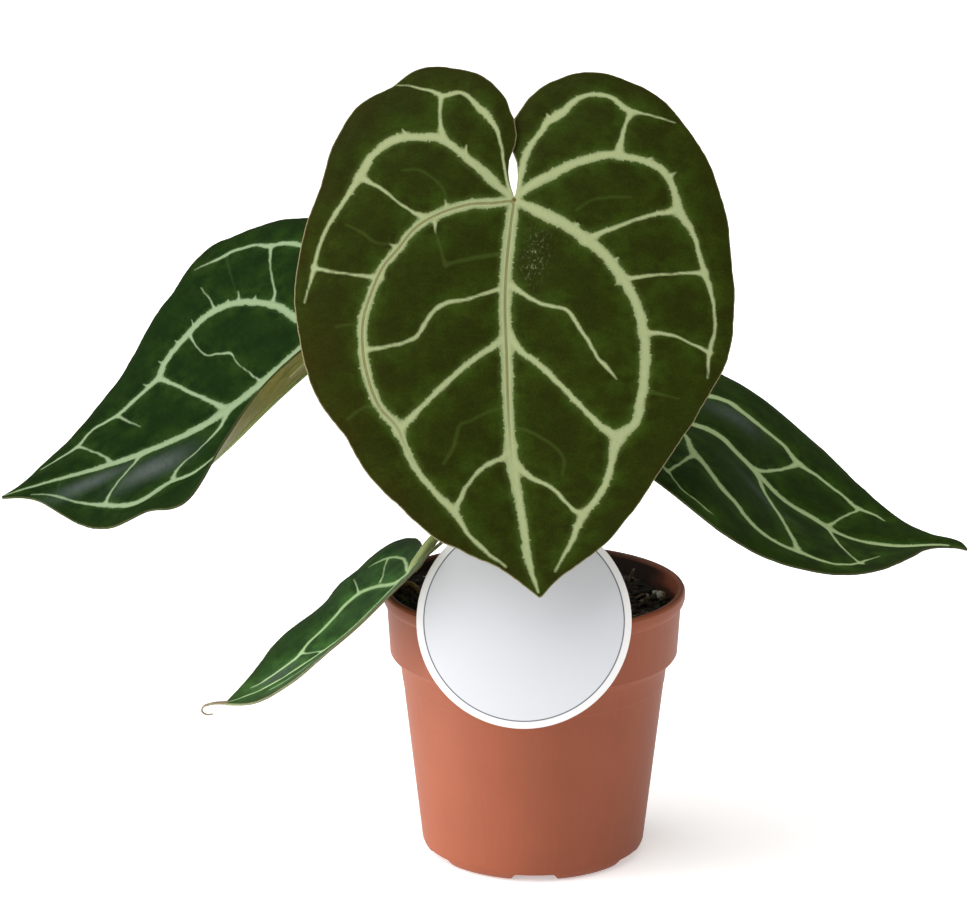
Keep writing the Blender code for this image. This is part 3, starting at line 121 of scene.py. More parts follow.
# Leaves. spine: the midrib's line in space, from the junction with the petiole to the tip.
# face: the way the upper side looks, at the junction, half way and at the tip. bend: at a distance
# along the midrib, how many degrees that half rises from it, and how many more for each 10 mm
# outwards. outline: flat points (across, along) from the sinus round the lobe to the tip.
# ribs: flat points (across, along, width) of the bright veins. lap_plus and lap_minus: how far a
# lobe's inner margin moves across at a distance along. thread: the dry curl past the tip.
# plus is the half on the right of the midrib, looking at the upper side with the tip down.
# The points of the outlines, ribs, barbs and dim veins were picked over the photo, and a separate
# program turned them into flat mm on the blade and rounded them.
FRONT = dict(
    name="front_leaf",
    spine=[(-8.5, -40, 269), (-10.5, -56, 238.5), (-11, -68, 211), (-9, -78, 178.5), (-4.5, -83.5, 149),
        (1, -84, 128.5)],
    face=[(0, -0.93, 0.36), (0, -0.93, 0.36), (0, -0.93, 0.36)],
    bend_plus=[(-60, 4, -2.6), (0, 6, -2.6), (75, 7, -2.6), (150, 4, -1)],
    bend_minus=[(-60, 4, -2.6), (0, 6, -2.6), (75, 7, -2.6), (150, 4, -1)],
    lobe_bend=-0.006, lobe_lift=1.0, wave=0.4, wave_count=17, wave_phase=0.4, foot_angle=-90,
    arrives_below=4.0, petiole_radius=2.3, petiole=[(-3, 3, 150), (-7, 1, 215), (-9.5, -14, 255)],
    outline_minus=[(-1.5, -33), (-3, -35.5), (-5.5, -41), (-9.5, -46), (-14, -50), (-19.5, -53),
        (-25.5, -54.3), (-31, -54.8), (-36.7, -54), (-43, -50.8), (-46, -48.3), (-48, -46.2),
        (-53.8, -42), (-58, -39), (-65.5, -29), (-69, -19), (-72.3, -4.5), (-78, 20), (-79.5, 36),
        (-76.5, 55.5), (-70.3, 72.5), (-60, 86), (-53.5, 97.5), (-43, 109), (-31.5, 121), (-22, 127.3),
        (-12, 134.3), (-5, 143)],
    outline_plus=[(0.5, -33), (2, -41), (7.5, -48), (12.5, -52), (18, -55), (24.5, -56.8), (31, -56.6),
        (37, -55.7), (43.5, -53.5), (57, -44), (63.5, -36), (74, -18), (79, -3), (82.5, 16), (84, 37),
        (83.5, 50), (80, 64.8), (73.5, 77), (67, 89), (53, 108.5), (36, 130), (30.5, 135), (24, 138.6),
        (12, 143.2), (5.5, 146.4)],
    ribs=[
        [(0, 1, 4), (-0.5, 8, 4.4), (-1, 46, 4.6), (-0.5, 54, 4.7), (-0.3, 84, 4), (-0.4, 99, 4.6),
         (0.3, 111, 3.5), (0.2, 127, 3.1), (-0.4, 133, 3.2), (-0.4, 140, 2), (0, 147.5, 0.8)],
        [(-1, 0.5, 2.6), (-8, 2, 3.8), (-15.5, 3, 4.1), (-21.5, 5, 4), (-27, 7.5, 3.8),
         (-35.5, 13.5, 3.3), (-42, 22.5, 3.1), (-46, 27.5, 3.3), (-50.5, 38, 3.4), (-53, 47, 3.7),
         (-53, 57, 3.5), (-51, 67, 3.5), (-47, 76.5, 3.2), (-41, 83.5, 3.8), (-38.5, 90, 2.6),
         (-35.5, 97, 2.4), (-29, 106.5, 2.1), (-23.5, 113, 2.6), (-20.5, 120, 1.6), (-16, 126.5, 1.3),
         (-9, 135, 0.7)],
        [(1, 0.5, 2.8), (9, 4, 4.4), (19, 8.5, 4.3), (28, 14, 4.6), (36.5, 21.5, 3.9), (40.5, 27, 4.1),
         (46.5, 37.5, 3.7), (50, 51, 3.8), (50.3, 63, 3.7), (48.5, 76.5, 3.5), (45, 88, 3.6),
         (38.5, 93.5, 4.6), (36.5, 99, 3.1), (33.5, 109, 2.5), (28, 117, 2.5), (23, 121.5, 3),
         (17.5, 130.5, 1.9), (8, 141.5, 0.8)],
        [(-1, -1, 2), (-7, -5.5, 3.4), (-12, -10, 3.9), (-18, -14.5, 3.3), (-23.5, -19, 2.9),
         (-28, -22, 3.5), (-36.5, -22.7, 3.2), (-45.5, -21.5, 3.5), (-53, -15.5, 2.9), (-57.5, -7, 3.5),
         (-61.5, 1, 2.1), (-66.5, 10, 1.7), (-71.5, 22.5, 1.3), (-72.7, 30, 1.4), (-75.5, 41, 0.6)],
        [(1, -1, 2.2), (5, -5, 3.6), (13.5, -10.5, 3.6), (24, -16.7, 3.4), (33.5, -20, 3.3),
         (45, -19.5, 2.7), (54, -16.5, 2.9), (59, -9, 2.5), (61.2, -0.5, 3.8), (66.5, 7, 2.1),
         (70.5, 17, 1.9), (72, 22.5, 2.3), (75.5, 34, 1.4), (76.6, 46.5, 1.2), (74.7, 57, 1.4),
         (73.5, 69.5, 0.6)],
        [(-1, -1.5, 1.3), (-3.3, -10, 1.3), (-5.5, -18.5, 1.1), (-7.2, -24.5, 1.2), (-9, -29, 1.9),
         (-14, -35, 3), (-17, -38.5, 2.2), (-22.5, -42.8, 1.5), (-29.5, -41, 2.3), (-34, -43, 1.3),
         (-40, -45, 0.8), (-47, -46.3, 0.4)],
        [(1, -2, 1.6), (2.8, -13, 2.1), (5.5, -23, 2.1), (8.5, -28.5, 2.1), (10.5, -32.5, 3.1),
         (13.2, -34.6, 4), (16, -37, 3.3), (21.5, -43.5, 2.2), (28, -46.2, 2), (34, -45.5, 1.9),
         (41.5, -40, 2.4), (45, -39.7, 1.3), (52, -39, 0.9), (59, -37.7, 0.4)],
        [(-29.6, -40, 1.8), (-29.6, -32, 1.1), (-28.8, -26, 2), (-28.2, -22.5, 3.4)],
        [(41.5, -39.5, 2.3), (39.7, -33, 1.4), (38.7, -27, 2), (38, -23, 3.2), (37.8, -20.5, 3.8)],
        [(-32, 9.7, 2.4), (-36, 8, 1.5), (-48.5, -0.5, 1.2), (-53.5, -3.7, 1.7), (-57.5, -6, 3)],
        [(-47.5, 32, 2.6), (-52, 32, 1.3), (-60, 31, 0.8), (-70.5, 29.3, 1.2), (-73, 28.5, 1.6)],
        [(27, 14.7, 3.8), (32, 11.5, 2.2), (38.5, 8.2, 1.5), (51, 2.5, 1.5), (57, 0.5, 2.3),
         (61, -0.5, 3.4)],
        [(41, 28.5, 3.4), (45.5, 28, 1.9), (53, 26.2, 1.1), (63.5, 24.3, 1.1), (69, 23.4, 1.6),
         (72, 23, 2.4)],
        [(49.5, 50, 3.2), (54, 50, 1.8), (60, 50.5, 1.2), (68.5, 54.2, 1.1), (74.7, 57.2, 2)],
        [(0, 33.5, 2.6), (-5, 35.2, 1.5), (-15.5, 39.3, 1.2), (-23, 41, 1.4), (-27.5, 44, 1.4),
         (-34, 53.4, 1.3), (-39, 55.4, 1.1), (-49.5, 57, 1.4), (-53, 57, 2)],
        [(0.5, 33, 2.8), (6, 36.4, 1.8), (12, 39.8, 1.4), (21, 42, 1.4), (27, 50, 1.4), (33.5, 61, 1.2),
         (36.7, 65, 1.4), (39.7, 69.2, 0.5)],
        [(0, 52, 4), (-4.5, 55.5, 2.5), (-13, 61.3, 2.1), (-24, 70.3, 1.9), (-34, 78.8, 2.1),
         (-38, 82, 2.6), (-41, 84.5, 3.6)],
        [(0.5, 52, 4), (4, 57, 2.7), (12, 63.5, 2.1), (24, 76.8, 2), (32.5, 87, 2.3), (36.5, 91, 3.4),
         (39.5, 93.5, 4.4)],
        [(0, 93, 3.6), (-2.5, 95.7, 2.2), (-11, 99.1, 1.5), (-18, 105.6, 1.4), (-23.3, 113, 2.2)],
        [(0, 98.5, 3.6), (5, 104, 2), (13, 109.7, 1.4), (19.7, 119.2, 1.6), (23, 122, 2.6)],
    ],
    thread=[],
    lap_plus=[(-42, 0), (-39.7, -0.2), (-36.8, -1.5), (-34, -2.6), (-30, -2.4), (-25.4, -2),
        (-19.6, -2.2), (-15.3, -1), (-10.5, -0.7), (-2, 0)],
    lap_minus=[(-46, 0), (-40, -0.6), (-34, -0.9), (-30, 0), (-25.4, 0.8), (-21, 0), (-19.6, -0.5),
        (-15.3, -1.6), (-10.5, -1.5), (-2, 0)],
)
LEFT = dict(
    name="left_leaf",
    spine=[(-80, 31, 209), (-92.5, 26, 198.5), (-112, 19.5, 182.5), (-137, 14.8, 167),
        (-167.5, 11, 154.4), (-194.5, 6.5, 147.2), (-211, 2.5, 143.5)],
    face=[(-0.43, -0.07, 0.9), (-0.38, -0.25, 0.89), (-0.43, -0.07, 0.9)],
    bend_plus=[(-60, -16, 12), (0, -16, 12), (45, -15.5, 12), (60, -10, 8), (78, -4, 3), (96, 1, 0.7),
        (115, -6, 0.4), (135, -12, 0.2), (151, -6, 0)],
    bend_minus=[(-60, 21, 0.5), (0, 21, 0.5), (75, 10, 0), (151, 5, -0.4)],
    lobe_bend=-0.005, lobe_lift=0.0, wave=0.5, wave_count=13, wave_phase=1.1, foot_angle=165,
    arrives_below=6.0, petiole_radius=2.2, petiole=[(-27, 13, 140), (-56, 28, 184), (-75, 35, 201)],
    outline_minus=[(-2.5, -26), (-9, -42), (-25, -49), (-45, -41), (-64.5, -24.5), (-74, -17.5),
        (-80.5, -11), (-86.5, -3.5), (-90.5, 3.5), (-91, 17.5), (-88.7, 35), (-86, 58), (-82.5, 68),
        (-77.5, 78.5), (-71, 87.5), (-62, 95), (-49.5, 106.5), (-32.5, 123.5), (-22.5, 132.5),
        (-8.5, 142)],
    outline_plus=[(2.5, -26), (8, -38), (20, -44), (34, -40), (44, -28), (50, -10), (54, 12), (57, 43),
        (60.5, 58), (66, 72), (70, 80), (67.5, 85.5), (61.5, 92.5), (59, 101), (54, 110), (42, 120.3),
        (24, 130.5), (8, 140.5)],
    ribs=[
        [(0, 1, 4.6), (0, 44, 4.3), (0.8, 57, 4.9), (1, 70, 4.3), (0.3, 83, 4.3), (-0.2, 96, 4.4),
         (-1, 107, 3.7), (-2, 125, 2.8), (-2, 141, 1.6), (-1, 150, 0.8)],
        [(-1, 0, 3), (-13, 8, 3.4), (-29.5, 9.5, 3.4), (-38, 12, 3.4), (-45, 15.5, 3.5), (-51, 20, 3.7),
         (-55, 25, 3.8), (-58, 31.5, 3.9), (-59.2, 40, 3.9), (-58.7, 50, 3.9), (-57, 59, 3.8),
         (-54.5, 66, 3.6), (-51, 71.5, 3.5), (-45.7, 76, 4), (-43.3, 82, 2.9), (-40.5, 89.5, 2.5),
         (-36, 98, 2.4), (-35, 104, 1.9), (-34.5, 109.5, 1.6), (-31.5, 113.5, 1.5), (-26, 117.7, 1.9),
         (-22, 125, 1.4), (-17.5, 133.5, 0.8)],
        [(1, 0, 3), (20, 5, 3), (36, 24, 3), (42, 48, 2.8), (40, 67, 2.8), (39.3, 76.6, 3.2),
         (37.5, 82, 3), (39.5, 87.5, 3), (44.5, 92, 3.8), (46.7, 96.5, 4.4), (44, 101.3, 3.4),
         (38, 106.7, 2.4), (31.5, 112, 2.5), (24.7, 118.5, 1.5), (17.2, 125.3, 1.1), (12.1, 129.3, 1.5),
         (8.5, 133.4, 1.1), (5.2, 139.2, 0.8)],
        [(-1, -1, 2.4), (-20, -13, 2.4), (-40, -17, 2.2), (-52.5, -15, 2.1), (-62, -10.7, 2),
         (-66, -7, 2.1), (-72, -4.5, 1.5), (-76.5, -1, 1.6), (-79.5, 3.5, 1.8), (-81, 9, 1.7),
         (-84.5, 17, 0.9), (-87, 22.5, 0.4)],
        [(1.5, -1, 2), (14, -24, 1.8), (30, -22, 1.6), (42, 0, 1.4), (47, 30, 1.2)],
        [(-66, -7.5, 1.6), (-57.5, -2.5, 0.8), (-47.5, 2.5, 0.8), (-40, 5.8, 1.2), (-36.5, 9, 2)],
        [(-58, 29.5, 2), (-62, 28.5, 1), (-69, 27.3, 0.7), (-75.5, 26.7, 0.4)],
        [(-58, 51, 2.2), (-53, 51.7, 1.2), (-48, 51.7, 0.9), (-43, 51, 0.9), (-38.5, 49.5, 1),
         (-33.5, 44, 1.2), (-29, 39.6, 1.4), (-26.5, 39.3, 0.8), (-22.5, 40, 0.6), (-12.5, 39, 0.6),
         (-4.5, 38, 1), (-1, 37.2, 1.8)],
        [(-45, 76, 3.4), (-40, 73.2, 2.5), (-35.5, 70.7, 1.9), (-24.7, 65.7, 1.8), (-13.5, 60.5, 1.8),
         (-7, 57.8, 2.3), (-2, 55.8, 3.4)],
        [(-35.5, 99.7, 2), (-31, 97.3, 1.2), (-26, 94.8, 0.9), (-19.3, 91, 0.5)],
        [(-25.5, 117.8, 2), (-20, 114.3, 1.1), (-14.5, 111.3, 1), (-7, 107.5, 1.3), (-2, 105.8, 2.2)],
        [(1, 55, 3.4), (4.5, 57.3, 2.4), (10.3, 61.8, 1.8), (14.7, 67, 1), (19, 72.5, 0.8),
         (23.2, 78, 0.9), (27, 81, 1.4), (32, 82.7, 1.6), (37, 83.3, 2.4)],
        [(0, 93.5, 2.6), (4, 95.5, 1.6), (11, 100, 1), (18, 104.8, 1), (24, 108.4, 1.1), (28, 110.3, 1.6),
         (31.5, 111.3, 2.4)],
    ],
    thread=[], lap_plus=[], lap_minus=[],
)
RIGHT = dict(
    name="right_leaf",
    spine=[(41, 17, 180), (62.5, 13, 170), (73, 11, 166.5), (81, 9, 159), (96.5, 5.5, 143.5),
        (117, 2, 131.2), (129.5, 0.5, 126), (145.5, -1.5, 124), (162, -3.5, 125.8), (171, -5, 124.3)],
    face=[(0.4, 0.11, 0.91), (0.39, 0.04, 0.92), (0.39, 0, 0.92)],
    bend_plus=[(-60, 12, 0), (0, 12, 0), (73, 17, -0.7), (146, 7, 0)],
    bend_minus=[(-60, -7, -1.4), (0, -7, -1.4), (73, -5, -1.2), (146, 10, -1.1)],
    lobe_bend=-0.003, lobe_lift=0.0, wave=0.35, wave_count=13, wave_phase=2.2, foot_angle=15,
    arrives_below=6.0, petiole_radius=2.2, petiole=[(22, 7, 128), (35, 14, 158), (39.5, 17, 172)],
    outline_minus=[(-2.5, -22), (-9, -36), (-22, -43), (-38, -39), (-56, -24), (-69, -3), (-77, 20.5),
        (-81.5, 32.5), (-82.2, 45), (-79, 55.5), (-73, 66), (-69, 74), (-65, 84.5), (-60, 95),
        (-53.5, 103), (-44.5, 112), (-32, 120.5), (-22.5, 126.5), (-12, 131.5), (-4, 137), (0.4, 142.5)],
    outline_plus=[(2.5, -22), (9, -36), (22, -42), (40, -38), (58, -26), (72, -8), (79, 10), (78.5, 21),
        (73.5, 30.5), (69.5, 37), (68.5, 45), (70, 58.5), (69.7, 70), (68.5, 79), (64, 88.5), (56, 98.5),
        (48, 107.5), (42, 113), (32.5, 120.5), (21, 128.5), (13, 135), (7.5, 145)],
    ribs=[
        [(0, 1, 4.4), (1.5, 24, 4.6), (2.8, 30, 4.9), (1.8, 37, 4.8), (-0.3, 44, 5), (0.5, 53, 5.4),
         (0.5, 60, 4.9), (-0.8, 67, 4.9), (-1, 75, 4.9), (0, 84, 5), (-1.5, 91, 5.8), (-3, 97, 5),
         (-1.8, 105, 4.4), (0, 112, 4.1), (0.5, 121, 3.6), (0.8, 129, 3), (1, 140, 1.8)],
        [(1, 0, 2.8), (20, 8, 4.2), (36, 17, 4.8), (42.5, 27, 5), (42.5, 32.5, 4.6), (40, 37, 4.1),
         (39.5, 44, 3.7), (41.5, 53, 3.3), (42.5, 59.5, 3.6), (40, 64, 3.8), (38, 69, 5.4),
         (38, 73.5, 3.8), (38.5, 78.5, 2.8), (36.5, 88, 2.5), (34, 96, 2.4), (30, 101.5, 3.2),
         (29.5, 106, 2.6), (29, 111, 1.9), (25.5, 115, 0.8)],
        [(-1, 0, 2.6), (-10, 14, 2.6), (-20.5, 24, 2.6), (-31, 27.5, 3.2), (-36.7, 30.5, 4.9),
         (-41, 36, 4.1), (-44.7, 41.5, 3.9), (-47.5, 47, 4.2), (-48.3, 55, 3.6), (-51, 60, 3.3),
         (-52.5, 66, 3.1), (-52.5, 73, 2.7), (-51.5, 79, 2.8), (-50, 82.5, 3.8), (-50, 88, 2.6),
         (-49, 94, 2), (-44.5, 99.5, 1.5), (-38.5, 104.5, 1.5), (-31.5, 108, 1), (-23, 113, 0.4)],
        [(1.5, -1, 1.8), (20, -17, 2.2), (42, -20, 2), (56, -10, 1.4), (64, 4, 0.8), (67, 12, 0.5)],
        [(-1.5, -1, 1.8), (-20, -16, 2), (-40, -12, 1.8), (-56, 8, 1.6), (-65.5, 23.5, 1.3),
         (-71, 28, 0.9), (-75, 34, 1), (-75, 42, 0.9), (-74.3, 47.5, 0.9), (-73, 50.5, 0.4)],
        [(0, 53, 3.4), (5.5, 57, 2.1), (15, 61.3, 1.6), (24, 65, 1.6), (31, 67.4, 2.2),
         (37.5, 69.2, 3.2)],
        [(30, 103, 2.2), (26, 102, 1.4), (18, 98.3, 1), (10.5, 95, 1), (4, 93, 1.4), (0, 91.5, 2.4)],
        [(-37, 30.5, 3), (-42, 29, 1.9), (-51, 27, 1.4), (-62, 24.3, 1.3), (-66, 23.3, 1.3)],
        [(0.3, 55, 4), (-5, 59, 3), (-10.5, 61.6, 2.5), (-16, 66, 2.4), (-22.3, 70.8, 2.1),
         (-31, 75.5, 1.9), (-39, 79, 1.9), (-45, 81, 2.3), (-50, 82.5, 3.4)],
        [(-1, 90, 3.6), (-6, 92.3, 2.2), (-12, 93.8, 1.5), (-20, 96.3, 1.3), (-28, 99.7, 1.1),
         (-35, 103.2, 1.2), (-38.5, 105.2, 1.8)],
    ],
    thread=[], lap_plus=[], lap_minus=[],
)
SMALL = dict(
    name="small_leaf",
    spine=[(-48.5, -28, 122), (-57.5, -35, 114.3), (-70, -41, 103), (-88, -43, 89.8), (-107, -45, 78.7),
        (-119.5, -46, 74.5)],
    face=[(-0.57, 0.1, 0.815), (-0.55, -0.015, 0.83), (-0.53, -0.12, 0.84)],
    bend_plus=[(-60, 8, 0.8), (0, 8, 0.8), (45, 10, 0.8), (89, 4, 0.6)],
    bend_minus=[(-60, 8, 1.3), (0, 8, 1.3), (45, 8, 0.5), (89, 12, 0)],
    lobe_bend=-0.0065, lobe_lift=0.0, wave=0.2, wave_count=9, wave_phase=0.0, foot_angle=220,
    arrives_below=0.0, petiole_radius=1.6,
    petiole=[(-16, -12, 126), (-29, -18, 138), (-38.5, -22.5, 134.5), (-44.5, -26, 127)],
    outline_minus=[(-5, -8.5), (-8.5, -12), (-13.5, -15.7), (-20, -18.7), (-28, -20.3), (-34, -19.2),
        (-38.5, -16), (-42, -9.5), (-43.8, 1), (-44.5, 13.5), (-43.8, 24), (-42.3, 36), (-38, 47),
        (-33.5, 58), (-28.3, 65), (-20, 72.3), (-12.5, 78.5), (-5, 84.7)],
    outline_plus=[(6, -8), (10, -14), (16, -18), (24, -17), (31, -10), (35, 4), (33, 22), (31, 38),
        (27, 55), (21.5, 64), (17, 73), (11, 80), (5, 85)],
    ribs=[
        [(0, 0.5, 2.2), (0, 20, 1.9), (0, 55, 1.6), (0, 72, 1.1), (0, 87, 0.6)],
        [(0, 3, 2.7), (-3, 6.8, 2.7), (-8.5, 8, 2.5), (-15, 9.5, 2.7), (-20.3, 12.5, 2.9),
         (-23.6, 16.6, 3), (-25, 22.3, 2.9), (-24.8, 28, 2.7), (-23.3, 34.5, 2.5), (-21, 40, 2.2),
         (-18.4, 45, 1.9), (-16, 49.5, 1.6), (-13, 53, 1.6), (-10, 55.5, 2), (-8.3, 59, 1.6),
         (-7.5, 64, 1.4), (-6.3, 68.5, 1.2), (-5.2, 73, 0.9), (-4.5, 78, 0.4)],
        [(1, 0, 1.7), (12, 8, 1.4), (20, 24, 1.2), (17, 46, 1.1), (8, 70, 0.8)],
        [(-1, -0.5, 1.9), (-4, -1.5, 1.7), (-10, -5, 1.4), (-17.5, -7.5, 1.2), (-25.5, -8, 1.3),
         (-31, -6.5, 1.4), (-34.5, -4, 1), (-37, -1.5, 0.4)],
        [(1, -1, 1.2), (9, -9, 1.1), (20, -8, 0.9), (27, 6, 0.7)],
        [(-28.5, -7, 1.1), (-24.2, -2, 0.6), (-19.5, 1.7, 0.6), (-15.5, 6.5, 1.4)],
        [(-23, 16, 2), (-27, 13.5, 1.2), (-31, 10.8, 0.8), (-38, 6.2, 0.4)],
        [(-10.5, 55, 1.2), (-6, 51.5, 0.6), (-3, 48, 0.5), (0, 46, 1.2)],
    ],
    thread=[(-125, -46.5, 74.8), (-127.5, -46.5, 73.8), (-128.3, -46, 72), (-126.8, -45.5, 70.3),
        (-124, -45.5, 70.4)],
    lap_plus=[], lap_minus=[],
)

# Look of each leaf. cell: mesh step. Colours are what the eye sees, 0 to 255. fray, line and rim: how
# frayed the veins, how brown the midrib's line and how dry the margin. Greyish patches: across, along,
# half width, half length, turn and strength of each; where line is 1 a patch is pale scuff flecks, and
# where it is 0 an even painted sheen, a greyish highlight. barbs: spurs beside the bright veins. faint:
# the dim veins.
FRONT_LOOK = dict(
    cell=0.73, deep=(32, 38, 4), green=(41, 56, 10), brown=(42, 34, 5), vein=(148, 157, 114),
    halo=(70, 88, 36), back=(112, 108, 56), fray=1.0, line=1.0, rim=0.6, quilt=0.7, gloss=0.02,
    sheen_and_scuff=[(9, 22, 4, 9, 6, 0.6)],
    barbs=[[(-19.5, -16, 1.5), (-19, -20, 0.5)], [(-41, -22.6, 1.5), (-43.2, -25.8, 0.4)],
        [(57, -13.4, 1.5), (59.6, -15.9, 0.4)], [(11.6, -33.2, 1.5), (10, -36.4, 0.4)],
        [(37.2, 22.6, 1.5), (39.8, 20.2, 0.4)], [(48.5, -18.4, 1.5), (50.4, -20.8, 0.4)],
        [(-28.6, 11, 1.5), (-28, 15.2, 0.4)], [(-24.8, 5.5, 1.5), (-25.5, 2.2, 0.4)], [(-40.5, 21.5, 1.5),
        (-44.8, 20.1, 0.3)], [(21.6, 10.2, 1.5), (24, 8, 0.4)], [(41, 29, 1.5), (38.7, 31.5, 0.4)]],
    faint=[[(-43.5, 20.4, 0.6), (-50, 19.8, 0.6), (-55.5, 16, 0.6), (-61.5, 13.2, 0.4)],
        [(-52, 48.7, 2.1), (-55.4, 48.8, 0.8), (-63, 49.5, 0.4)], [(-24.2, 3.5, 0.6), (-27, -2.6, 0.5),
        (-30.4, -5.9, 0.5), (-36.4, -9.2, 0.5), (-42.1, -8.4, 0.4)], [(-3.4, 20.9, 1.3), (-11.5, 23.4, 1),
        (-18.4, 25.2, 1), (-23.3, 27.2, 0.8)], [(-23.3, 27.2, 0.7), (-26.3, 20.1, 0.5),
        (-28.6, 13.2, 0.4)], [(-0.3, 77.6, 0.5), (-8.4, 80.1, 0.5), (-13.7, 82.3, 0.6),
        (-18.4, 83.9, 0.8), (-20, 88.1, 0.8), (-22.4, 92.9, 0.9), (-25.3, 96.4, 0.8)],
        [(-46.3, 76.2, 1.3), (-51.9, 75.9, 0.6), (-58.8, 79.6, 0.6)], [(50, 74.5, 2.5), (53.7, 75.2, 1.3),
        (56.6, 76.4, 0.6), (62.3, 78.3, 0.4)], [(23, 3.2, 0.5), (28.6, -1.1, 0.5), (35.5, -2.8, 0.5),
        (43.2, -3.4, 0.4)], [(1.4, 85.4, 0.7), (9.1, 89.1, 0.7), (15.9, 94.7, 0.6), (18.6, 100, 0.6),
        (17.4, 105.3, 0.5)]],
)
LEFT_LOOK = dict(
    cell=0.69, deep=(14, 33, 4), green=(29, 50, 11), brown=(38, 44, 16), vein=(134, 152, 117),
    halo=(50, 78, 36), back=(112, 107, 42), fray=1.0, line=0.0, rim=0.1, quilt=0.6, gloss=0.015,
    sheen_and_scuff=[(19, 90, 8, 14, -20, 0.5), (10, 116, 5, 16, -10, 0.42)],
    barbs=[[(-44.2, 15.6, 1.5), (-46.5, 12.3, 0.5)], [(-50.6, 19.5, 1.5), (-56.5, 15.9, 0.4)],
        [(-59, 47, 1.5), (-64.2, 44.6, 0.5)], [(-51.5, 71, 1.5), (-56, 73, 0.4)], [(-43.4, 82, 1.5),
        (-47.4, 84.8, 0.4)], [(-57, 58.5, 1.5), (-61.2, 60.4, 0.4)], [(-53.8, 23.3, 1.5),
        (-57, 22.2, 0.5)]],
    faint=[[(-79.5, 7.5, 1.4), (-68, 12.5, 0.5), (-56, 17.2, 0.6), (-51.5, 19, 1.4)], [(2.9, 127.5, 0.8),
        (8.9, 129.4, 0.6), (11.7, 130.7, 0.8)]],
)
RIGHT_LOOK = dict(
    cell=0.69, deep=(23, 38, 3), green=(37, 59, 9), brown=(40, 44, 18), vein=(146, 164, 116),
    halo=(48, 74, 34), back=(104, 104, 54), fray=0.8, line=0.0, rim=0.1, quilt=0.6, gloss=0.02,
    sheen_and_scuff=[(29, 36, 8, 11, 0, 0.28), (-20, 62, 4, 14, 10, 0.16)],
    barbs=[], faint=[],
)
SMALL_LOOK = dict(
    cell=0.42, deep=(24, 50, 14), green=(48, 84, 32), brown=(58, 56, 32), vein=(156, 182, 134),
    halo=(66, 102, 48), back=(104, 122, 66), fray=0.7, line=0.0, rim=0.3, quilt=0.4, gloss=0.1,
    sheen_and_scuff=[(-4, 66, 4, 10, -8, 0.3)], barbs=[], faint=[],
)
LEAVES = ((FRONT, FRONT_LOOK), (LEFT, LEFT_LOOK), (RIGHT, RIGHT_LOOK), (SMALL, SMALL_LOOK))

# Steps along a midrib, and how many of them its smoothing takes in
SPINE_STEPS = 241
SPINE_EASE = 24
# Width and length of the slit at the sinus, the uncut hub in front of it, the step along the margin,
# and where one lobe is lifted over the other
SINUS_GAP = 1.5
SINUS_LENGTH = 20.0
HUB = 1.5
MARGIN_STEP = 0.3
LOBE_STEP = 12
LOBE_REACH = 20
# How far out a vein is measured, how softly veins meet, the step along them, and how far each vein
# and each side of it is shifted in the pattern of spurs
VEIN_REACH = 12.0
VEIN_JOIN = 1.4
VEIN_STEP = 1.2
VEIN_SHIFT = 57.0
SIDE_SHIFT = 231.0
# The veins' small waver, and how far in from the margin its wave reaches
WAVER_SEED = 7
WAVER_SIZE = 4.0
WAVER_REACH = 0.4
WAVE_REACH = 26
# Radius of a rib underneath as a share of its vein's width, and its limits
RIB_RADIUS = 0.27
RIB_RADIUS_RANGE = (0.22, 1.15)
# In cells: how near the outline a grid point is moved onto it, and the grid's border
SNAP_REACH = 0.45
GRID_BORDER = 1.3
BROWN_SPOT = (-66, 66)
THREAD_RADII = (0.85, 0.55, 0.32)
SHEATH_HEIGHTS = (27, 21, 24, 17)
SHEATH_THICKNESS = 0.0004


class LeafSettings(bpy.types.PropertyGroup):
    thickness: FloatProperty(
        name="Blade thickness", description="Thickness of every leaf blade",
        default=0.0008, min=0.0004, max=0.002, unit="LENGTH", precision=5)
    quilting: FloatProperty(
        name="Quilting", description="How much the tissue swells between the veins",
        default=1.0, min=0.0, max=3.0, subtype="FACTOR")
    petiole_colour: FloatVectorProperty(
        name="Petiole colour", description="Colour of the leaf stalks",
        default=(0.19, 0.24, 0.08), size=3, min=0.0, max=1.0, subtype="COLOR")
    sheath_colour: FloatVectorProperty(
        name="Sheath colour", description="Colour of the dry sheaths at the stalks' feet",
        default=(0.2, 0.11, 0.05), size=3, min=0.0, max=1.0, subtype="COLOR")


class PotSettings(bpy.types.PropertyGroup):
    plastic: FloatVectorProperty(
        name="Plastic colour", description="Colour of the moulded pot",
        default=(0.25, 0.07, 0.034), size=3, min=0.0, max=1.0, subtype="COLOR")
    rounding: FloatProperty(
        name="Edge rounding", description="Radius of the pot's moulded edges",
        default=0.0006, min=0.0001, max=0.002, unit="LENGTH", precision=5)
    steps: IntProperty(
        name="Steps round", description="How many steps the pot is spun in",
        default=160, min=32, max=320)


class MixSettings(bpy.types.PropertyGroup):
    crumbs: IntProperty(
        name="Crumbs", description="How many loose bits lie on the potting mix",
        default=900, min=0, max=3000)
    seed: IntProperty(
        name="Seed", description="Seed of the bed's bumps and its bits", default=11, min=0)
    peat: FloatVectorProperty(
        name="Peat colour", description="Colour of the dark mix",
        default=(0.007, 0.005, 0.0035), size=3, min=0.0, max=1.0, subtype="COLOR")
    bark: FloatVectorProperty(
        name="Bark colour", description="Colour of the bark bits",
        default=(0.05, 0.026, 0.013), size=3, min=0.0, max=1.0, subtype="COLOR")


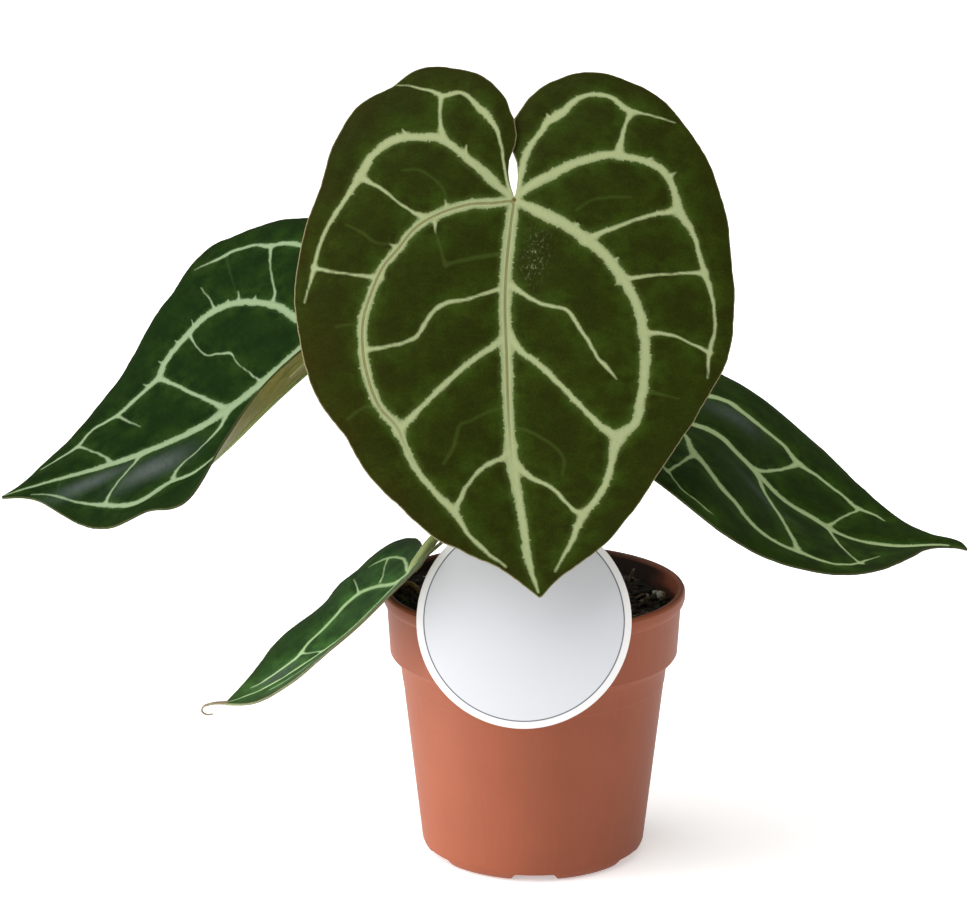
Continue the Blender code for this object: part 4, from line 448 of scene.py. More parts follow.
class TagSettings(bpy.types.PropertyGroup):
    board: FloatVectorProperty(
        name="Board colour", description="Colour of the round plant tag",
        default=(0.565, 0.575, 0.6), size=3, min=0.0, max=1.0, subtype="COLOR")
    line: FloatVectorProperty(
        name="Line colour", description="Colour of the thin ring line",
        default=(0.05, 0.065, 0.085), size=3, min=0.0, max=1.0, subtype="COLOR")
    line_radius: FloatProperty(
        name="Line radius", description="Radius of the ring line",
        default=0.0377, min=0.01, max=0.0405, unit="LENGTH", precision=5)
    line_width: FloatProperty(
        name="Line width", description="Width of the ring line",
        default=0.00045, min=0.0001, max=0.003, unit="LENGTH", precision=5)


class StageSettings(bpy.types.PropertyGroup):
    floor: FloatVectorProperty(
        name="Floor colour", description="Colour of the studio floor",
        default=(0.9, 0.9, 0.9), size=3, min=0.0, max=1.0, subtype="COLOR")
    glow: FloatProperty(
        name="Floor glow", description="How much the floor shines by itself, as over a light table",
        default=0.42, min=0.0, max=5.0)
    key: FloatProperty(
        name="Key light", description="Strength of the broad soft light from the upper left",
        default=4.1, min=0.0, max=50.0)
    spread: FloatProperty(
        name="Key spread", description="How wide the key light's soft disc is",
        default=math.radians(90), min=0.0, max=math.pi, subtype="ANGLE")
    fill: FloatProperty(
        name="Fill light", description="Power of the soft light on the right",
        default=4.0, min=0.0, max=500.0, unit="POWER")
    side: FloatProperty(
        name="Side light", description="Power of the small low light on the left",
        default=0.6, min=0.0, max=100.0, unit="POWER")
    sky: FloatProperty(
        name="Sky", description="Strength of the even light from all sides",
        default=0.36, min=0.0, max=5.0)
    lens: FloatProperty(
        name="Focal length", description="Focal length of the camera, in mm",
        default=106.16, min=20.0, max=300.0, unit="CAMERA")


def seen(colour):
    """Linear values of a colour given as the eye sees it, 0 to 255."""
    return tuple(math.pow((value / 255 + 0.055) / 1.055, 2.4) for value in colour) + (1.0,)


class Web:
    """Short calls that wire up one node tree."""

    def __init__(self, tree):
        self.tree = tree

    def node(self, kind, **settings):
        item = self.tree.nodes.new(kind)
        for name, value in settings.items():
            setattr(item, name, value)
        return item

    def feed(self, socket, value):
        if isinstance(value, bpy.types.NodeSocket):
            self.tree.links.new(value, socket)
        else:
            socket.default_value = value

    def maths(self, operation, *values):
        item = self.node("ShaderNodeMath", operation=operation)
        for socket, value in zip(item.inputs, values):
            self.feed(socket, value)
        return item.outputs[0]

    def plus(self, *values):
        return self.maths("ADD", *values)

    def less(self, *values):
        return self.maths("SUBTRACT", *values)

    def times(self, *values):
        return self.maths("MULTIPLY", *values)

    def off_axis(self, x, y):
        """How far from an axis a place lies, from its two distances."""
        return self.maths("SQRT", self.plus(self.times(x, x), self.times(y, y)))

    def fade(self, value, start, end, low=0.0, high=1.0):
        """Runs smoothly from low to high as the value runs from start to end."""
        item = self.node("ShaderNodeMapRange", interpolation_type="SMOOTHSTEP")
        for label, given in (("Value", value), ("From Min", start), ("From Max", end),
                             ("To Min", low), ("To Max", high)):
            self.feed(item.inputs[label], given)
        return item.outputs["Result"]

    def blend(self, share, low, high, kind="MIX"):
        item = self.node("ShaderNodeMix", data_type="RGBA", blend_type=kind, clamp_factor=True)
        for slot, given in ((0, share), (6, low), (7, high)):
            self.feed(item.inputs[slot], given)
        return item.outputs[2]

    def vector(self, operation, *values):
        item = self.node("ShaderNodeVectorMath", operation=operation)
        for socket, value in zip(item.inputs, values):
            self.feed(socket, value)
        return item.outputs["Value" if operation == "LENGTH" else "Vector"]

    def stretch(self, where, shares):
        return self.vector("MULTIPLY", where, shares)

    def noise(self, where, scale, detail=2.0, roughness=0.5):
        item = self.node("ShaderNodeTexNoise")
        self.feed(item.inputs["Vector"], where)
        item.inputs["Scale"].default_value = scale
        item.inputs["Detail"].default_value = detail
        item.inputs["Roughness"].default_value = roughness
        return item.outputs["Fac"]

    def cells(self, where, scale, feature="DISTANCE_TO_EDGE"):
        item = self.node("ShaderNodeTexVoronoi", feature=feature)
        self.feed(item.inputs["Vector"], where)
        item.inputs["Scale"].default_value = scale
        return item.outputs["Distance"]

    def grey(self, value):
        """A colour with one number in all three channels."""
        item = self.node("ShaderNodeCombineColor")
        for slot in range(3):
            self.feed(item.inputs[slot], value)
        return item.outputs[0]

    def value(self, name, output="Fac"):
        item = self.node("ShaderNodeAttribute", attribute_name=name)
        return item.outputs[output]

    def place(self, scale=1000.0):
        """Object coordinates in mm."""
        return self.stretch(self.node("ShaderNodeTexCoord").outputs["Object"], (scale, scale, scale))

    def parts(self, vector):
        item = self.node("ShaderNodeSeparateXYZ")
        self.feed(item.inputs[0], vector)
        return item.outputs


class Paint(Web):
    """A new material's web, with its Principled shader and a Bump in mm."""

    def __init__(self, name):
        self.material = bpy.data.materials.new(name)
        self.material.use_nodes = True
        super().__init__(self.material.node_tree)
        self.shader = self.tree.nodes["Principled BSDF"]
        self.bump = self.node("ShaderNodeBump")
        self.bump.inputs["Distance"].default_value = MM
        self.feed(self.shader.inputs["Normal"], self.bump.outputs["Normal"])

    def coat(self, colour, roughness, height, strength=None, gloss=None):
        """Joins up the colour, the roughness and the bump height, and gives the material."""
        self.feed(self.shader.inputs["Base Color"], colour)
        self.feed(self.shader.inputs["Roughness"], roughness)
        self.feed(self.bump.inputs["Height"], height)
        if strength is not None:
            self.bump.inputs["Strength"].default_value = strength
        if gloss is not None:
            self.shader.inputs["Specular IOR Level"].default_value = gloss
        return self.material


def new_group(name, colours, numbers):
    """A node group that takes named colours and numbers and gives a colour, a roughness and a
    height, with the web that wires it."""
    tree = bpy.data.node_groups.new(name, "ShaderNodeTree")
    for labels, way, kind in ((colours, "INPUT", "Color"), (numbers, "INPUT", "Float"),
                              (("Color",), "OUTPUT", "Color"),
                              (("Roughness", "Height"), "OUTPUT", "Float")):
        for label in labels:
            tree.interface.new_socket(name=label, in_out=way, socket_type="NodeSocket" + kind)
    web = Web(tree)
    entry = web.node("NodeGroupInput").outputs
    leave = web.node("NodeGroupOutput").inputs
    return tree, web, entry, leave


# Inputs of the blades' node group, and colours that all four blades share, 0 to 255
UPPER_COLOURS = ("Deep", "Green", "Brown", "Vein", "Halo")
UPPER_NUMBERS = ("Fray", "Line", "Rim", "Flecks")
FLECK_COLOUR = (132, 138, 104)
# A painted sheen: the grey of light glancing off the velvet, painted into the tissue's colour.
SHEEN_COLOUR = (104, 112, 110)
MIDRIB_LINE = (92, 78, 38)
DRY_MARGIN = (150, 140, 108)
BACK_VEIN = (150, 160, 104)


def marks_group():
    """The blade's upper side: tissue with painted sheen patches and pale scuff flecks, pale veins with
    frayed edges, midrib line and dry rim.
    """
    if "leaf_marks" in bpy.data.node_groups:
        return bpy.data.node_groups["leaf_marks"]
    tree, web, entry, leave = new_group("leaf_marks", UPPER_COLOURS, UPPER_NUMBERS)
    flat = web.value("flat", "Vector")
    edge, half, faint, core, rim, age = map(web.value, ("edge", "half", "faint", "core", "rim", "age"))

    small = web.less(web.noise(flat, 1.1, 3.0, 0.65), 0.5)
    large = web.less(web.noise(flat, 0.33, 2.0, 0.5), 0.5)
    ragged = web.plus(web.times(small, 1.1), web.times(large, 0.9))
    ragged = web.times(ragged, web.times(entry["Fray"], web.maths("MINIMUM", half, 1.3)))
    spur = web.node("ShaderNodeTexVoronoi", voronoi_dimensions="1D")
    web.feed(spur.inputs["W"], web.value("run"))
    spur.inputs["Scale"].default_value = 0.3
    chance = web.node("ShaderNodeSeparateColor")
    web.feed(chance.inputs["Color"], spur.outputs["Color"])
    spurs = web.times(web.fade(spur.outputs["Distance"], 0.16, 0.0),
                      web.fade(chance.outputs["Red"], 0.35, 1.0, 0.0, 0.6))
    spurs = web.times(spurs, web.fade(half, 0.5, 1.3))
    vein = web.fade(web.less(web.plus(edge, ragged), spurs), 0.5, -0.42)
    halo = web.fade(web.plus(edge, web.times(ragged, 1.6)), 2.4, -0.2, 0.0, 0.4)
    halo = web.times(halo, web.fade(half, 0.3, 1.4))
    dim = web.fade(web.plus(faint, web.times(small, 0.9)), 0.8, -0.4, 0.0, 0.3)

    patches = web.fade(web.noise(flat, 0.085, 4.0, 0.6), 0.36, 0.66, 0.0, 0.75)
    share = web.times(patches, web.plus(0.45, web.fade(edge, 10.0, 0.5)))
    tissue = web.blend(share, entry["Deep"], entry["Green"])
    blotch = web.noise(web.vector("ADD", flat, (40.0, 9.0, 0.0)), 0.06, 2.0, 0.5)
    tissue = web.blend(web.times(age, web.fade(blotch, 0.32, 0.62, 0.35, 1.0)), tissue, entry["Brown"])
    streaks = web.noise(web.stretch(flat, (0.22, 0.5, 1.0)), 1.0, 3.0, 0.6)
    drawn_out = web.vector("ADD", flat, web.stretch(flat, (0.1, 0.0, 0.0)))
    net = web.fade(web.cells(drawn_out, 0.16), 0.0, 0.1, 1.0, 0.0)
    grain = web.noise(flat, 1.1, 4.0, 0.65)
    light = web.plus(web.fade(streaks, 0.3, 0.7, 0.94, 1.07), web.times(net, 0.06))
    light = web.times(light, web.fade(grain, 0.28, 0.72, 0.84, 1.16))
    tissue = web.blend(1.0, tissue, web.grey(light), "MULTIPLY")
    # Painted sheen: where Flecks is 0 the greyish patches are an even, streaked highlight painted into the
    # colour; where it is 1 they are pale scuff flecks.
    sheen = web.times(web.fade(streaks, 0.25, 0.75, 0.75, 1.0), web.less(1.0, entry["Flecks"]))
    flecks = web.fade(web.noise(web.stretch(flat, (1.0, 0.6, 1.0)), 0.8, 4.0, 0.8), 0.52, 0.66)
    sheen_and_scuff = web.plus(sheen, web.times(flecks, entry["Flecks"]))
    sheen_and_fleck_colour = web.blend(entry["Flecks"], seen(SHEEN_COLOUR), seen(FLECK_COLOUR))
    tissue = web.blend(web.times(web.value("sheen_and_scuff"), sheen_and_scuff), tissue, sheen_and_fleck_colour)
    for mask in (dim, halo):
        tissue = web.blend(mask, tissue, entry["Halo"])

    depth = web.maths("DIVIDE", web.times(edge, -1.0), web.maths("MAXIMUM", half, 0.2))
    pale = web.blend(web.fade(depth, 0.0, 0.7, 0.28, 0.0), entry["Vein"], entry["Halo"])
    fibres = web.noise(web.stretch(flat, (1.0, 0.2, 1.0)), 2.2, 2.0, 0.5)
    pale = web.blend(web.fade(fibres, 0.35, 0.7, 0.0, 0.12), pale, entry["Halo"])
    along_fade = web.fade(web.parts(flat)[1], 104.0, 70.0)
    line = web.fade(web.maths("ABSOLUTE", web.less(core, 0.3)), 0.36, 0.08, 0.0, 0.62)
    hub = web.fade(web.vector("LENGTH", flat), 1.2, 0.5)
    line = web.times(web.maths("MAXIMUM", web.times(line, along_fade), hub), entry["Line"])
    coat = web.blend(vein, tissue, web.blend(line, pale, seen(MIDRIB_LINE)))
    dry = web.fade(web.plus(rim, web.times(small, 0.4)), 0.55, 0.15)
    web.feed(leave["Color"], web.blend(web.times(dry, entry["Rim"]), coat, seen(DRY_MARGIN)))
    web.feed(leave["Roughness"], web.plus(web.fade(grain, 0.2, 0.8, 0.54, 0.66), web.times(vein, 0.06)))
    ridge = web.times(web.fade(edge, 0.9, -1.2), 0.2)
    groove = web.times(web.times(web.fade(core, 0.9, 0.1), -0.16), along_fade)
    pores = web.times(web.plus(grain, web.noise(flat, 3.0, 2.0, 0.6)), 0.05)
    folds = web.times(web.less(streaks, web.times(net, 0.25)), 0.12)
    web.feed(leave["Height"], web.plus(web.plus(ridge, groove), web.plus(pores, folds)))
    return tree


def back_group():
    """The blade's underside: dull olive tissue with lengthwise lines and raised pale ribs."""
    if "leaf_back" in bpy.data.node_groups:
        return bpy.data.node_groups["leaf_back"]
    tree, web, entry, leave = new_group("leaf_back", ("Back", "Vein"), ())
    flat = web.value("flat", "Vector")
    edge = web.value("edge")
    grain = web.noise(flat, 0.8, 4.0, 0.65)
    patches = web.noise(flat, 0.07, 3.0, 0.5)
    net = web.fade(web.cells(flat, 0.16), 0.0, 0.07, 1.0, 0.0)
    lines = web.noise(web.stretch(flat, (1.0, 0.05, 1.0)), 0.45, 3.0, 0.6)
    coat = entry["Back"]
    for mask, over in ((web.fade(patches, 0.35, 0.7, 0.0, 0.5), seen((84, 92, 44))),
                       (web.fade(grain, 0.3, 0.7, 0.0, 0.18), seen((140, 132, 84))),
                       (web.times(net, 0.1), entry["Vein"]),
                       (web.fade(lines, 0.5, 0.62, 0.0, 0.55), seen((78, 74, 34))),
                       (web.fade(web.value("faint"), 0.7, -0.2, 0.0, 0.5), entry["Vein"]),
                       (web.fade(edge, 0.35, -0.25, 0.0, 0.8), entry["Vein"])):
        coat = web.blend(mask, coat, over)
    web.feed(leave["Color"], coat)
    web.feed(leave["Roughness"], web.fade(grain, 0.2, 0.8, 0.42, 0.56))
    ridge = web.times(web.fade(edge, 1.2, -1.0), 0.3)
    web.feed(leave["Height"], web.plus(ridge, web.times(web.plus(net, grain), 0.1)))
    return tree


def hermite(knots, values, at):
    """A smooth curve through values at rising knots, held at the ends."""
    knots = np.asarray(knots, float)
    values = np.asarray(values, float)
    at = np.clip(np.asarray(at, float), knots[0], knots[-1])
    slopes = np.gradient(values, knots, axis=0)
    low = np.clip(np.searchsorted(knots, at, side="right") - 1, 0, len(knots) - 2)
    span = knots[low + 1] - knots[low]
    s = (at - knots[low]) / span
    if values.ndim > 1:
        s = s[:, None]
        span = span[:, None]
    return ((2 * s**3 - 3 * s**2 + 1) * values[low] + (s**3 - 2 * s**2 + s) * span * slopes[low]
            + (3 * s**2 - 2 * s**3) * values[low + 1] + (s**3 - s**2) * span * slopes[low + 1])


def run_along(points):
    """How far along a line each of its points lies."""
    return np.r_[0, np.cumsum(np.linalg.norm(np.diff(points, axis=0), axis=1))]


def unit(rows):
    return rows / np.linalg.norm(rows, axis=-1, keepdims=True)


def eased(rows, reach):
    """Rows averaged over their neighbours, with both ends kept."""
    window = np.hanning(2 * reach + 3)[1:-1]
    padded = np.vstack([2 * rows[0] - rows[reach:0:-1], rows, 2 * rows[-1] - rows[-2:-reach - 2:-1]])
    return np.stack([np.convolve(column, window / window.sum(), "valid") for column in padded.T], 1)


class Blade:
    """The bent surface of one leaf: takes flat (across, along) mm to a place in the pot's frame."""

    def __init__(self, leaf):
        self.leaf = leaf
        points = np.array(leaf["spine"], float)
        chord = run_along(points)
        fine = eased(hermite(chord, points, np.linspace(0, chord[-1], SPINE_STEPS)), SPINE_EASE)
        self.along = run_along(fine)
        self.line = fine
        self.tangent = unit(np.gradient(fine, self.along, axis=0))
        self.length = self.along[-1]
        self.bend_plus = np.array(leaf["bend_plus"], float)
        self.bend_minus = np.array(leaf["bend_minus"], float)

    def frame(self, along):
        held = np.clip(along, 0, self.length)
        line = np.stack([np.interp(held, self.along, self.line[:, k]) for k in range(3)], 1)
        way = unit(np.stack([np.interp(held, self.along, self.tangent[:, k]) for k in range(3)], 1))
        face = hermite([0, self.length / 2, self.length], self.leaf["face"], held)
        up = unit(face - (face * way).sum(1)[:, None] * way)
        bend = self.leaf["lobe_bend"]
        back = np.minimum(along, 0)
        angle = (-back * bend)[:, None]
        line = line - way * np.sin(angle) / bend + up * (1 - np.cos(angle)) / bend
        way, up = way * np.cos(angle) - up * np.sin(angle), up * np.cos(angle) + way * np.sin(angle)
        return line, way, up

    def place(self, across, along, height=0.0, plus=None):
        across = np.asarray(across, float)
        along = np.asarray(along, float)
        line, way, up = self.frame(along)
        side = np.cross(up, way)
        if plus is None:
            plus = across >= 0
        half = np.where(plus, 1.0, -1.0)
        right = hermite(self.bend_plus[:, 0], self.bend_plus[:, 1:], along)
        left = hermite(self.bend_minus[:, 0], self.bend_minus[:, 1:], along)
        bend = np.radians(np.where(plus[:, None], right, left))
        rise = bend[:, 0]
        curl = bend[:, 1] / 10
        curl = np.where(np.abs(curl) < 1e-5, 1e-5, curl)
        reach = across * half
        out = (np.sin(rise + curl * reach) - np.sin(rise)) / curl
        lift = (np.cos(rise) - np.cos(rise + curl * reach)) / curl
        step = np.clip((-along - LOBE_STEP) / LOBE_STEP, 0, 1) * np.exp(-np.abs(reach) / LOBE_REACH)
        lift = lift - half * (step * self.leaf["lobe_lift"])
        place = line + side * (half * out)[:, None] + up * lift[:, None]
        if np.any(height):
            place = place + self.normal(across, along, plus) * np.reshape(height, (-1, 1))
        return place

    def normal(self, across, along, plus=None):
        small = 0.3
        over = self.place(across + small, along, 0, plus) - self.place(across - small, along, 0, plus)
        down = self.place(across, along + small, 0, plus) - self.place(across, along - small, 0, plus)
        return unit(np.cross(down, over))


def grouped_material(name, tree, values, strength, gloss):
    """A material whose colour, roughness and bump height come from one node group."""
    web = Paint(name)
    group = web.node("ShaderNodeGroup", node_tree=tree)
    for label, value in values.items():
        group.inputs[label].default_value = value
    return web.coat(*(group.outputs[label] for label in ("Color", "Roughness", "Height")), strength, gloss)


def blade_materials(name, look):
    marks = {label: seen(look[label.lower()]) for label in UPPER_COLOURS}
    marks.update({"Fray": look["fray"], "Line": look["line"], "Rim": look["rim"], "Flecks": look["line"]})
    backs = {"Back": seen(look["back"]), "Vein": seen(BACK_VEIN)}
    return (grouped_material(name + "_upper", marks_group(), marks, 0.6, look["gloss"]),
            grouped_material(name + "_under", back_group(), backs, 0.7, 0.06))


def new_object(name, data):
    item = bpy.data.objects.new(name, data)
    bpy.context.scene.collection.objects.link(item)
    return item


def applied_mesh(item):
    """A mesh of the object as its modifiers or its curve settings make it."""
    return bpy.data.meshes.new_from_object(item.evaluated_get(bpy.context.evaluated_depsgraph_get()))


def soften(bm, edges, offset, segments=2):
    """Rounds edges with a bevel."""
    bmesh.ops.bevel(bm, geom=edges, offset=offset, offset_type="OFFSET", segments=segments, profile=0.5,
                    affect="EDGES", clamp_overlap=True, material=-1)


def finish_piece(name, mesh, materials, node):
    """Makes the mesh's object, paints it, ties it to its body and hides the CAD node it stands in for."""
    for material in materials:
        mesh.materials.append(material)
    piece = new_object(name, mesh)
    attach(piece, "root")
    if node:
        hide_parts(node)
    return piece


def mesh_in_metres(name, bm, sharp=None):
    """Turns a bmesh in mm into a smooth mesh in metres. Edges over the sharp angle stay crisp."""
    bmesh.ops.scale(bm, vec=(MM, MM, MM), verts=bm.verts)
    mesh = bpy.data.meshes.new(name)
    bm.to_mesh(mesh)
    bm.free()
    mesh.polygons.foreach_set("use_smooth", [True] * len(mesh.polygons))
    if sharp is not None:
        mesh.set_sharp_from_angle(angle=math.radians(sharp))
    return mesh


def dense(points, step, axes=2):
    """A smooth curve resampled about every step mm. axes: how many of a point's numbers place it."""
    points = np.array(points, float)
    chord = run_along(points[:, :axes])
    return hermite(chord, points, np.linspace(0, chord[-1], max(2, int(chord[-1] / step) + 1)))


def ragged_margin(points, seed):
    """Lets the margin wander a little, less towards its two ends."""
    way = unit(np.gradient(points, axis=0))
    out = np.stack([way[:, 1], -way[:, 0]], 1)
    run = np.arange(len(points)) * MARGIN_STEP
    wander = np.array([noise.noise(Vector((at / 7, seed, 0)))
                       + 0.5 * noise.noise(Vector((at / 2.5, seed, 4))) for at in run])
    ends = np.clip(np.minimum(run, run[-1] - run) / 12, 0, 1)
    return points + out * (0.3 * wander * ends)[:, None]


def leaf_ring(leaf):
    """The closed flat outline: down one edge of the sinus slit, round the blade, up the other."""
    blade = Blade(leaf)
    tip = [(0.0, blade.length)]
    minus = ragged_margin(dense(leaf["outline_minus"] + tip, MARGIN_STEP), 1.5)
    plus = ragged_margin(dense(leaf["outline_plus"] + tip, MARGIN_STEP), 7.5)
    slits = []
    for sign, first in ((-1, minus[0]), (1, plus[0])):
        along = np.linspace(-HUB, first[1], max(8, int(abs(first[1]) / MARGIN_STEP)))
        share = (along + HUB) / (first[1] + HUB)
        lens = np.sin(np.pi * np.clip((-along - 1) / SINUS_LENGTH, 0, 1)) * SINUS_GAP
        slits.append(np.stack([sign * (0.05 + abs(first[0]) * share + lens * (1 - share)), along], 1))
    return np.vstack([slits[0][:-1], minus, plus[-2::-1], slits[1][-2::-1]])


def inside_ring(ring, points):
    """Which flat points lie inside the closed ring."""
    following = np.roll(ring, -1, axis=0)
    inside = np.zeros(len(points), bool)
    for start in range(0, len(ring), 200):
        a = ring[start:start + 200]
        b = following[start:start + 200]
        crosses = (a[None, :, 1] > points[:, None, 1]) != (b[None, :, 1] > points[:, None, 1])
        rise = np.where(np.abs(b[:, 1] - a[:, 1]) < 1e-9, 1e-9, b[:, 1] - a[:, 1])
        at = a[None, :, 0] + (points[:, None, 1] - a[None, :, 1]) / rise[None] * (b[:, 0] - a[:, 0])[None]
        inside ^= (np.sum(crosses & (points[:, None, 0] < at), axis=1) % 2).astype(bool)
    return inside


def nearest_on_ring(tree, points):
    """The ring's nearest point to each flat point, and how far off it is."""
    found = [tree.find((x, y, 0.0)) for x, y in points]
    return np.array([hit[0][:2] for hit in found]), np.array([hit[2] for hit in found])


def flat_of(bm):
    return np.array([vert.co[:2] for vert in bm.verts])


def snap_boundary(bm, tree):
    rows = [vert for vert in bm.verts if vert.is_boundary]
    places, _ = nearest_on_ring(tree, [vert.co[:2] for vert in rows])
    for vert, place in zip(rows, places):
        vert.co[0] = place[0]
        vert.co[1] = place[1]


def clipped_grid(ring, cell):
    """A flat grid cut to the ring, with its edge drawn onto the ring."""
    tree = KDTree(len(ring))
    for index, (x, y) in enumerate(ring):
        tree.insert((x, y, 0.0), index)
    tree.balance()
    low = ring.min(0) - cell * GRID_BORDER
    size = ring.max(0) + cell * GRID_BORDER - low
    bm = bmesh.new()
    bmesh.ops.create_grid(bm, x_segments=int(size[0] / cell), y_segments=int(size[1] / cell), size=0.5)
    bmesh.ops.scale(bm, vec=(size[0], size[1], 1.0), verts=bm.verts)
    bmesh.ops.translate(bm, vec=(low[0] + size[0] / 2, low[1] + size[1] / 2, 0.0), verts=bm.verts)
    points = flat_of(bm)
    inside = inside_ring(ring, points)
    places, away = nearest_on_ring(tree, points)
    snap = away < cell * SNAP_REACH
    bm.verts.ensure_lookup_table()
    for index in np.nonzero(snap)[0]:
        bm.verts[index].co[0] = places[index][0]
        bm.verts[index].co[1] = places[index][1]
    gone = [bm.verts[index] for index in np.nonzero(~inside & ~snap)[0]]
    bmesh.ops.delete(bm, geom=gone, context="VERTS")
    centres = np.array([face.calc_center_median()[:2] for face in bm.faces])
    outside = ~inside_ring(ring, centres)
    bmesh.ops.delete(bm, geom=[face for face, out in zip(bm.faces[:], outside) if out], context="FACES")
    trim_grid(bm)
    snap_boundary(bm, tree)
    for _ in range(3):
        near = set(vert for vert in bm.verts if vert.is_boundary)
        for _ in range(2):
            near |= {edge.other_vert(vert) for vert in near for edge in vert.link_edges}
        bmesh.ops.smooth_vert(bm, verts=list(near), factor=0.5, use_axis_x=True, use_axis_y=True,
                              use_axis_z=False)
        snap_boundary(bm, tree)
    return bm, tree


def trim_grid(bm):
    """Removes faces that hang on by one corner, and vertices without a face."""
    while True:
        pinched = [vert for vert in bm.verts
                   if sum(1 for edge in vert.link_edges if edge.is_boundary) > 2]
        loose = [face for vert in pinched for face in vert.link_faces[:1]]
        loose += [face for face in bm.faces if sum(1 for edge in face.edges if edge.is_boundary) > 2]
        if not loose:
            break
        bmesh.ops.delete(bm, geom=list(set(loose)), context="FACES")
    bare = [vert for vert in bm.verts if not vert.link_faces]
    bmesh.ops.delete(bm, geom=bare, context="VERTS")


def wandered(points):
    """Flat points moved by a slow noise, so that what is drawn from them wavers."""
    noise.seed_set(WAVER_SEED)
    moves = [noise.noise_vector(Vector((x / WAVER_SIZE, y / WAVER_SIZE, 3.0)))[:2] for x, y in points]
    return points + WAVER_REACH * np.array(moves)


def vein_fields(points, veins, reach=VEIN_REACH):
    """How far each flat point is from the nearest vein's edge, negative inside, how wide that vein
    is, and how far along it the point lies. Veins that meet flow into each other."""
    edge = np.full(len(points), reach)
    half = np.full(len(points), 0.3)
    run = np.zeros(len(points))
    for index, vein in enumerate(veins):
        before = edge.copy()
        edge = np.full(len(points), reach)
        path = dense(vein, VEIN_STEP)
        for step, (a, b) in enumerate(zip(path, path[1:])):
            low = np.minimum(a[:2], b[:2]) - reach - a[2]
            high = np.maximum(a[:2], b[:2]) + reach + a[2]
            near = np.nonzero(((points > low) & (points < high)).all(1))[0]
            if not len(near):
                continue
            way = b[:2] - a[:2]
            share = np.clip((points[near] - a[:2]) @ way / max(way @ way, 1e-9), 0, 1)
            away = np.linalg.norm(points[near] - a[:2] - share[:, None] * way, axis=1)
            wide = (a[2] + share * (b[2] - a[2])) / 2
            better = away - wide < edge[near]
            edge[near[better]] = (away - wide)[better]
            first = better & (away - wide < before[near])
            half[near[first]] = wide[first]
            cross = way[0] * (points[near][:, 1] - a[1]) - way[1] * (points[near][:, 0] - a[0])
            run[near[first]] = ((step + share) * VEIN_STEP + index * VEIN_SHIFT
                                     + SIDE_SHIFT * (cross > 0))[first]
        blend = np.clip(1 - np.abs(edge - before) / VEIN_JOIN, 0, 1) * (np.maximum(edge, before) < 2)
        edge = np.minimum(edge, before) - VEIN_JOIN * blend ** 2 / 4
    return edge, half, run


def store(mesh, name, values):
    """Keeps one number or vector for each vertex as an attribute."""
    if values.ndim == 1:
        layer = mesh.attributes.new(name, "FLOAT", "POINT")
        layer.data.foreach_set("value", values.astype(np.float32))
    else:
        layer = mesh.attributes.new(name, "FLOAT_VECTOR", "POINT")
        layer.data.foreach_set("vector", values.astype(np.float32).ravel())


def leaf_age(name, points, rim):
    """How brown the tissue is: along the rim, and on the front leaf's old side and its brown spot."""
    age = 0.25 * np.exp(-rim / 4)
    if name == "front_leaf":
        off = ((points - BROWN_SPOT) ** 2).sum(1)
        age = age + 0.2 * np.exp(-rim / 14) * np.clip(-points[:, 0] / 40, 0, 1)
        age = age + 0.3 * np.exp(-off / 200) + 0.07
    return np.clip(age, 0, 1)


def leaf_sheen_and_scuff(look, points):
    """Greyish patches, each an ellipse given by its place, half sizes, turn and strength: painted sheen on
    most leaves, pale scuff flecks on the front leaf.
    """
    sheen_and_scuff = np.zeros(len(points))
    for across, along, wide, long, turn, amount in look["sheen_and_scuff"]:
        x, y = (points - (across, along)).T
        way = math.radians(turn)
        a = (x * math.cos(way) + y * math.sin(way)) / wide
        b = (y * math.cos(way) - x * math.sin(way)) / long
        sheen_and_scuff = np.maximum(sheen_and_scuff, amount * np.exp(-a ** 2 - b ** 2))
    return sheen_and_scuff


def blade_wave(leaf, points, rim):
    """The margin's slow rise and fall, which dies out inwards."""
    turn = np.arctan2(points[:, 0], points[:, 1])
    outer = np.clip(1 - rim / WAVE_REACH, 0, 1) ** 2
    outer *= 1 - np.exp(-(points[:, 0] / 8) ** 2)
    return leaf["wave"] * np.sin(turn * leaf["wave_count"] + leaf["wave_phase"]) * outer


def lapped(leaf, points):
    """Moves the two lobes' inner margins sideways, so that they meet and lap at the sinus. Gives
    the new distance across and which half each point is on."""
    across, along = points[:, 0], points[:, 1]
    plus = across >= 0
    shift = np.zeros(len(points))
    for side, table in ((plus, leaf["lap_plus"]), (~plus, leaf["lap_minus"])):
        if table:
            stops, moves = np.array(table, float).T
            shift[side] = np.interp(along[side], stops, moves)
    return across + shift * np.exp(-across ** 2 / 12), plus


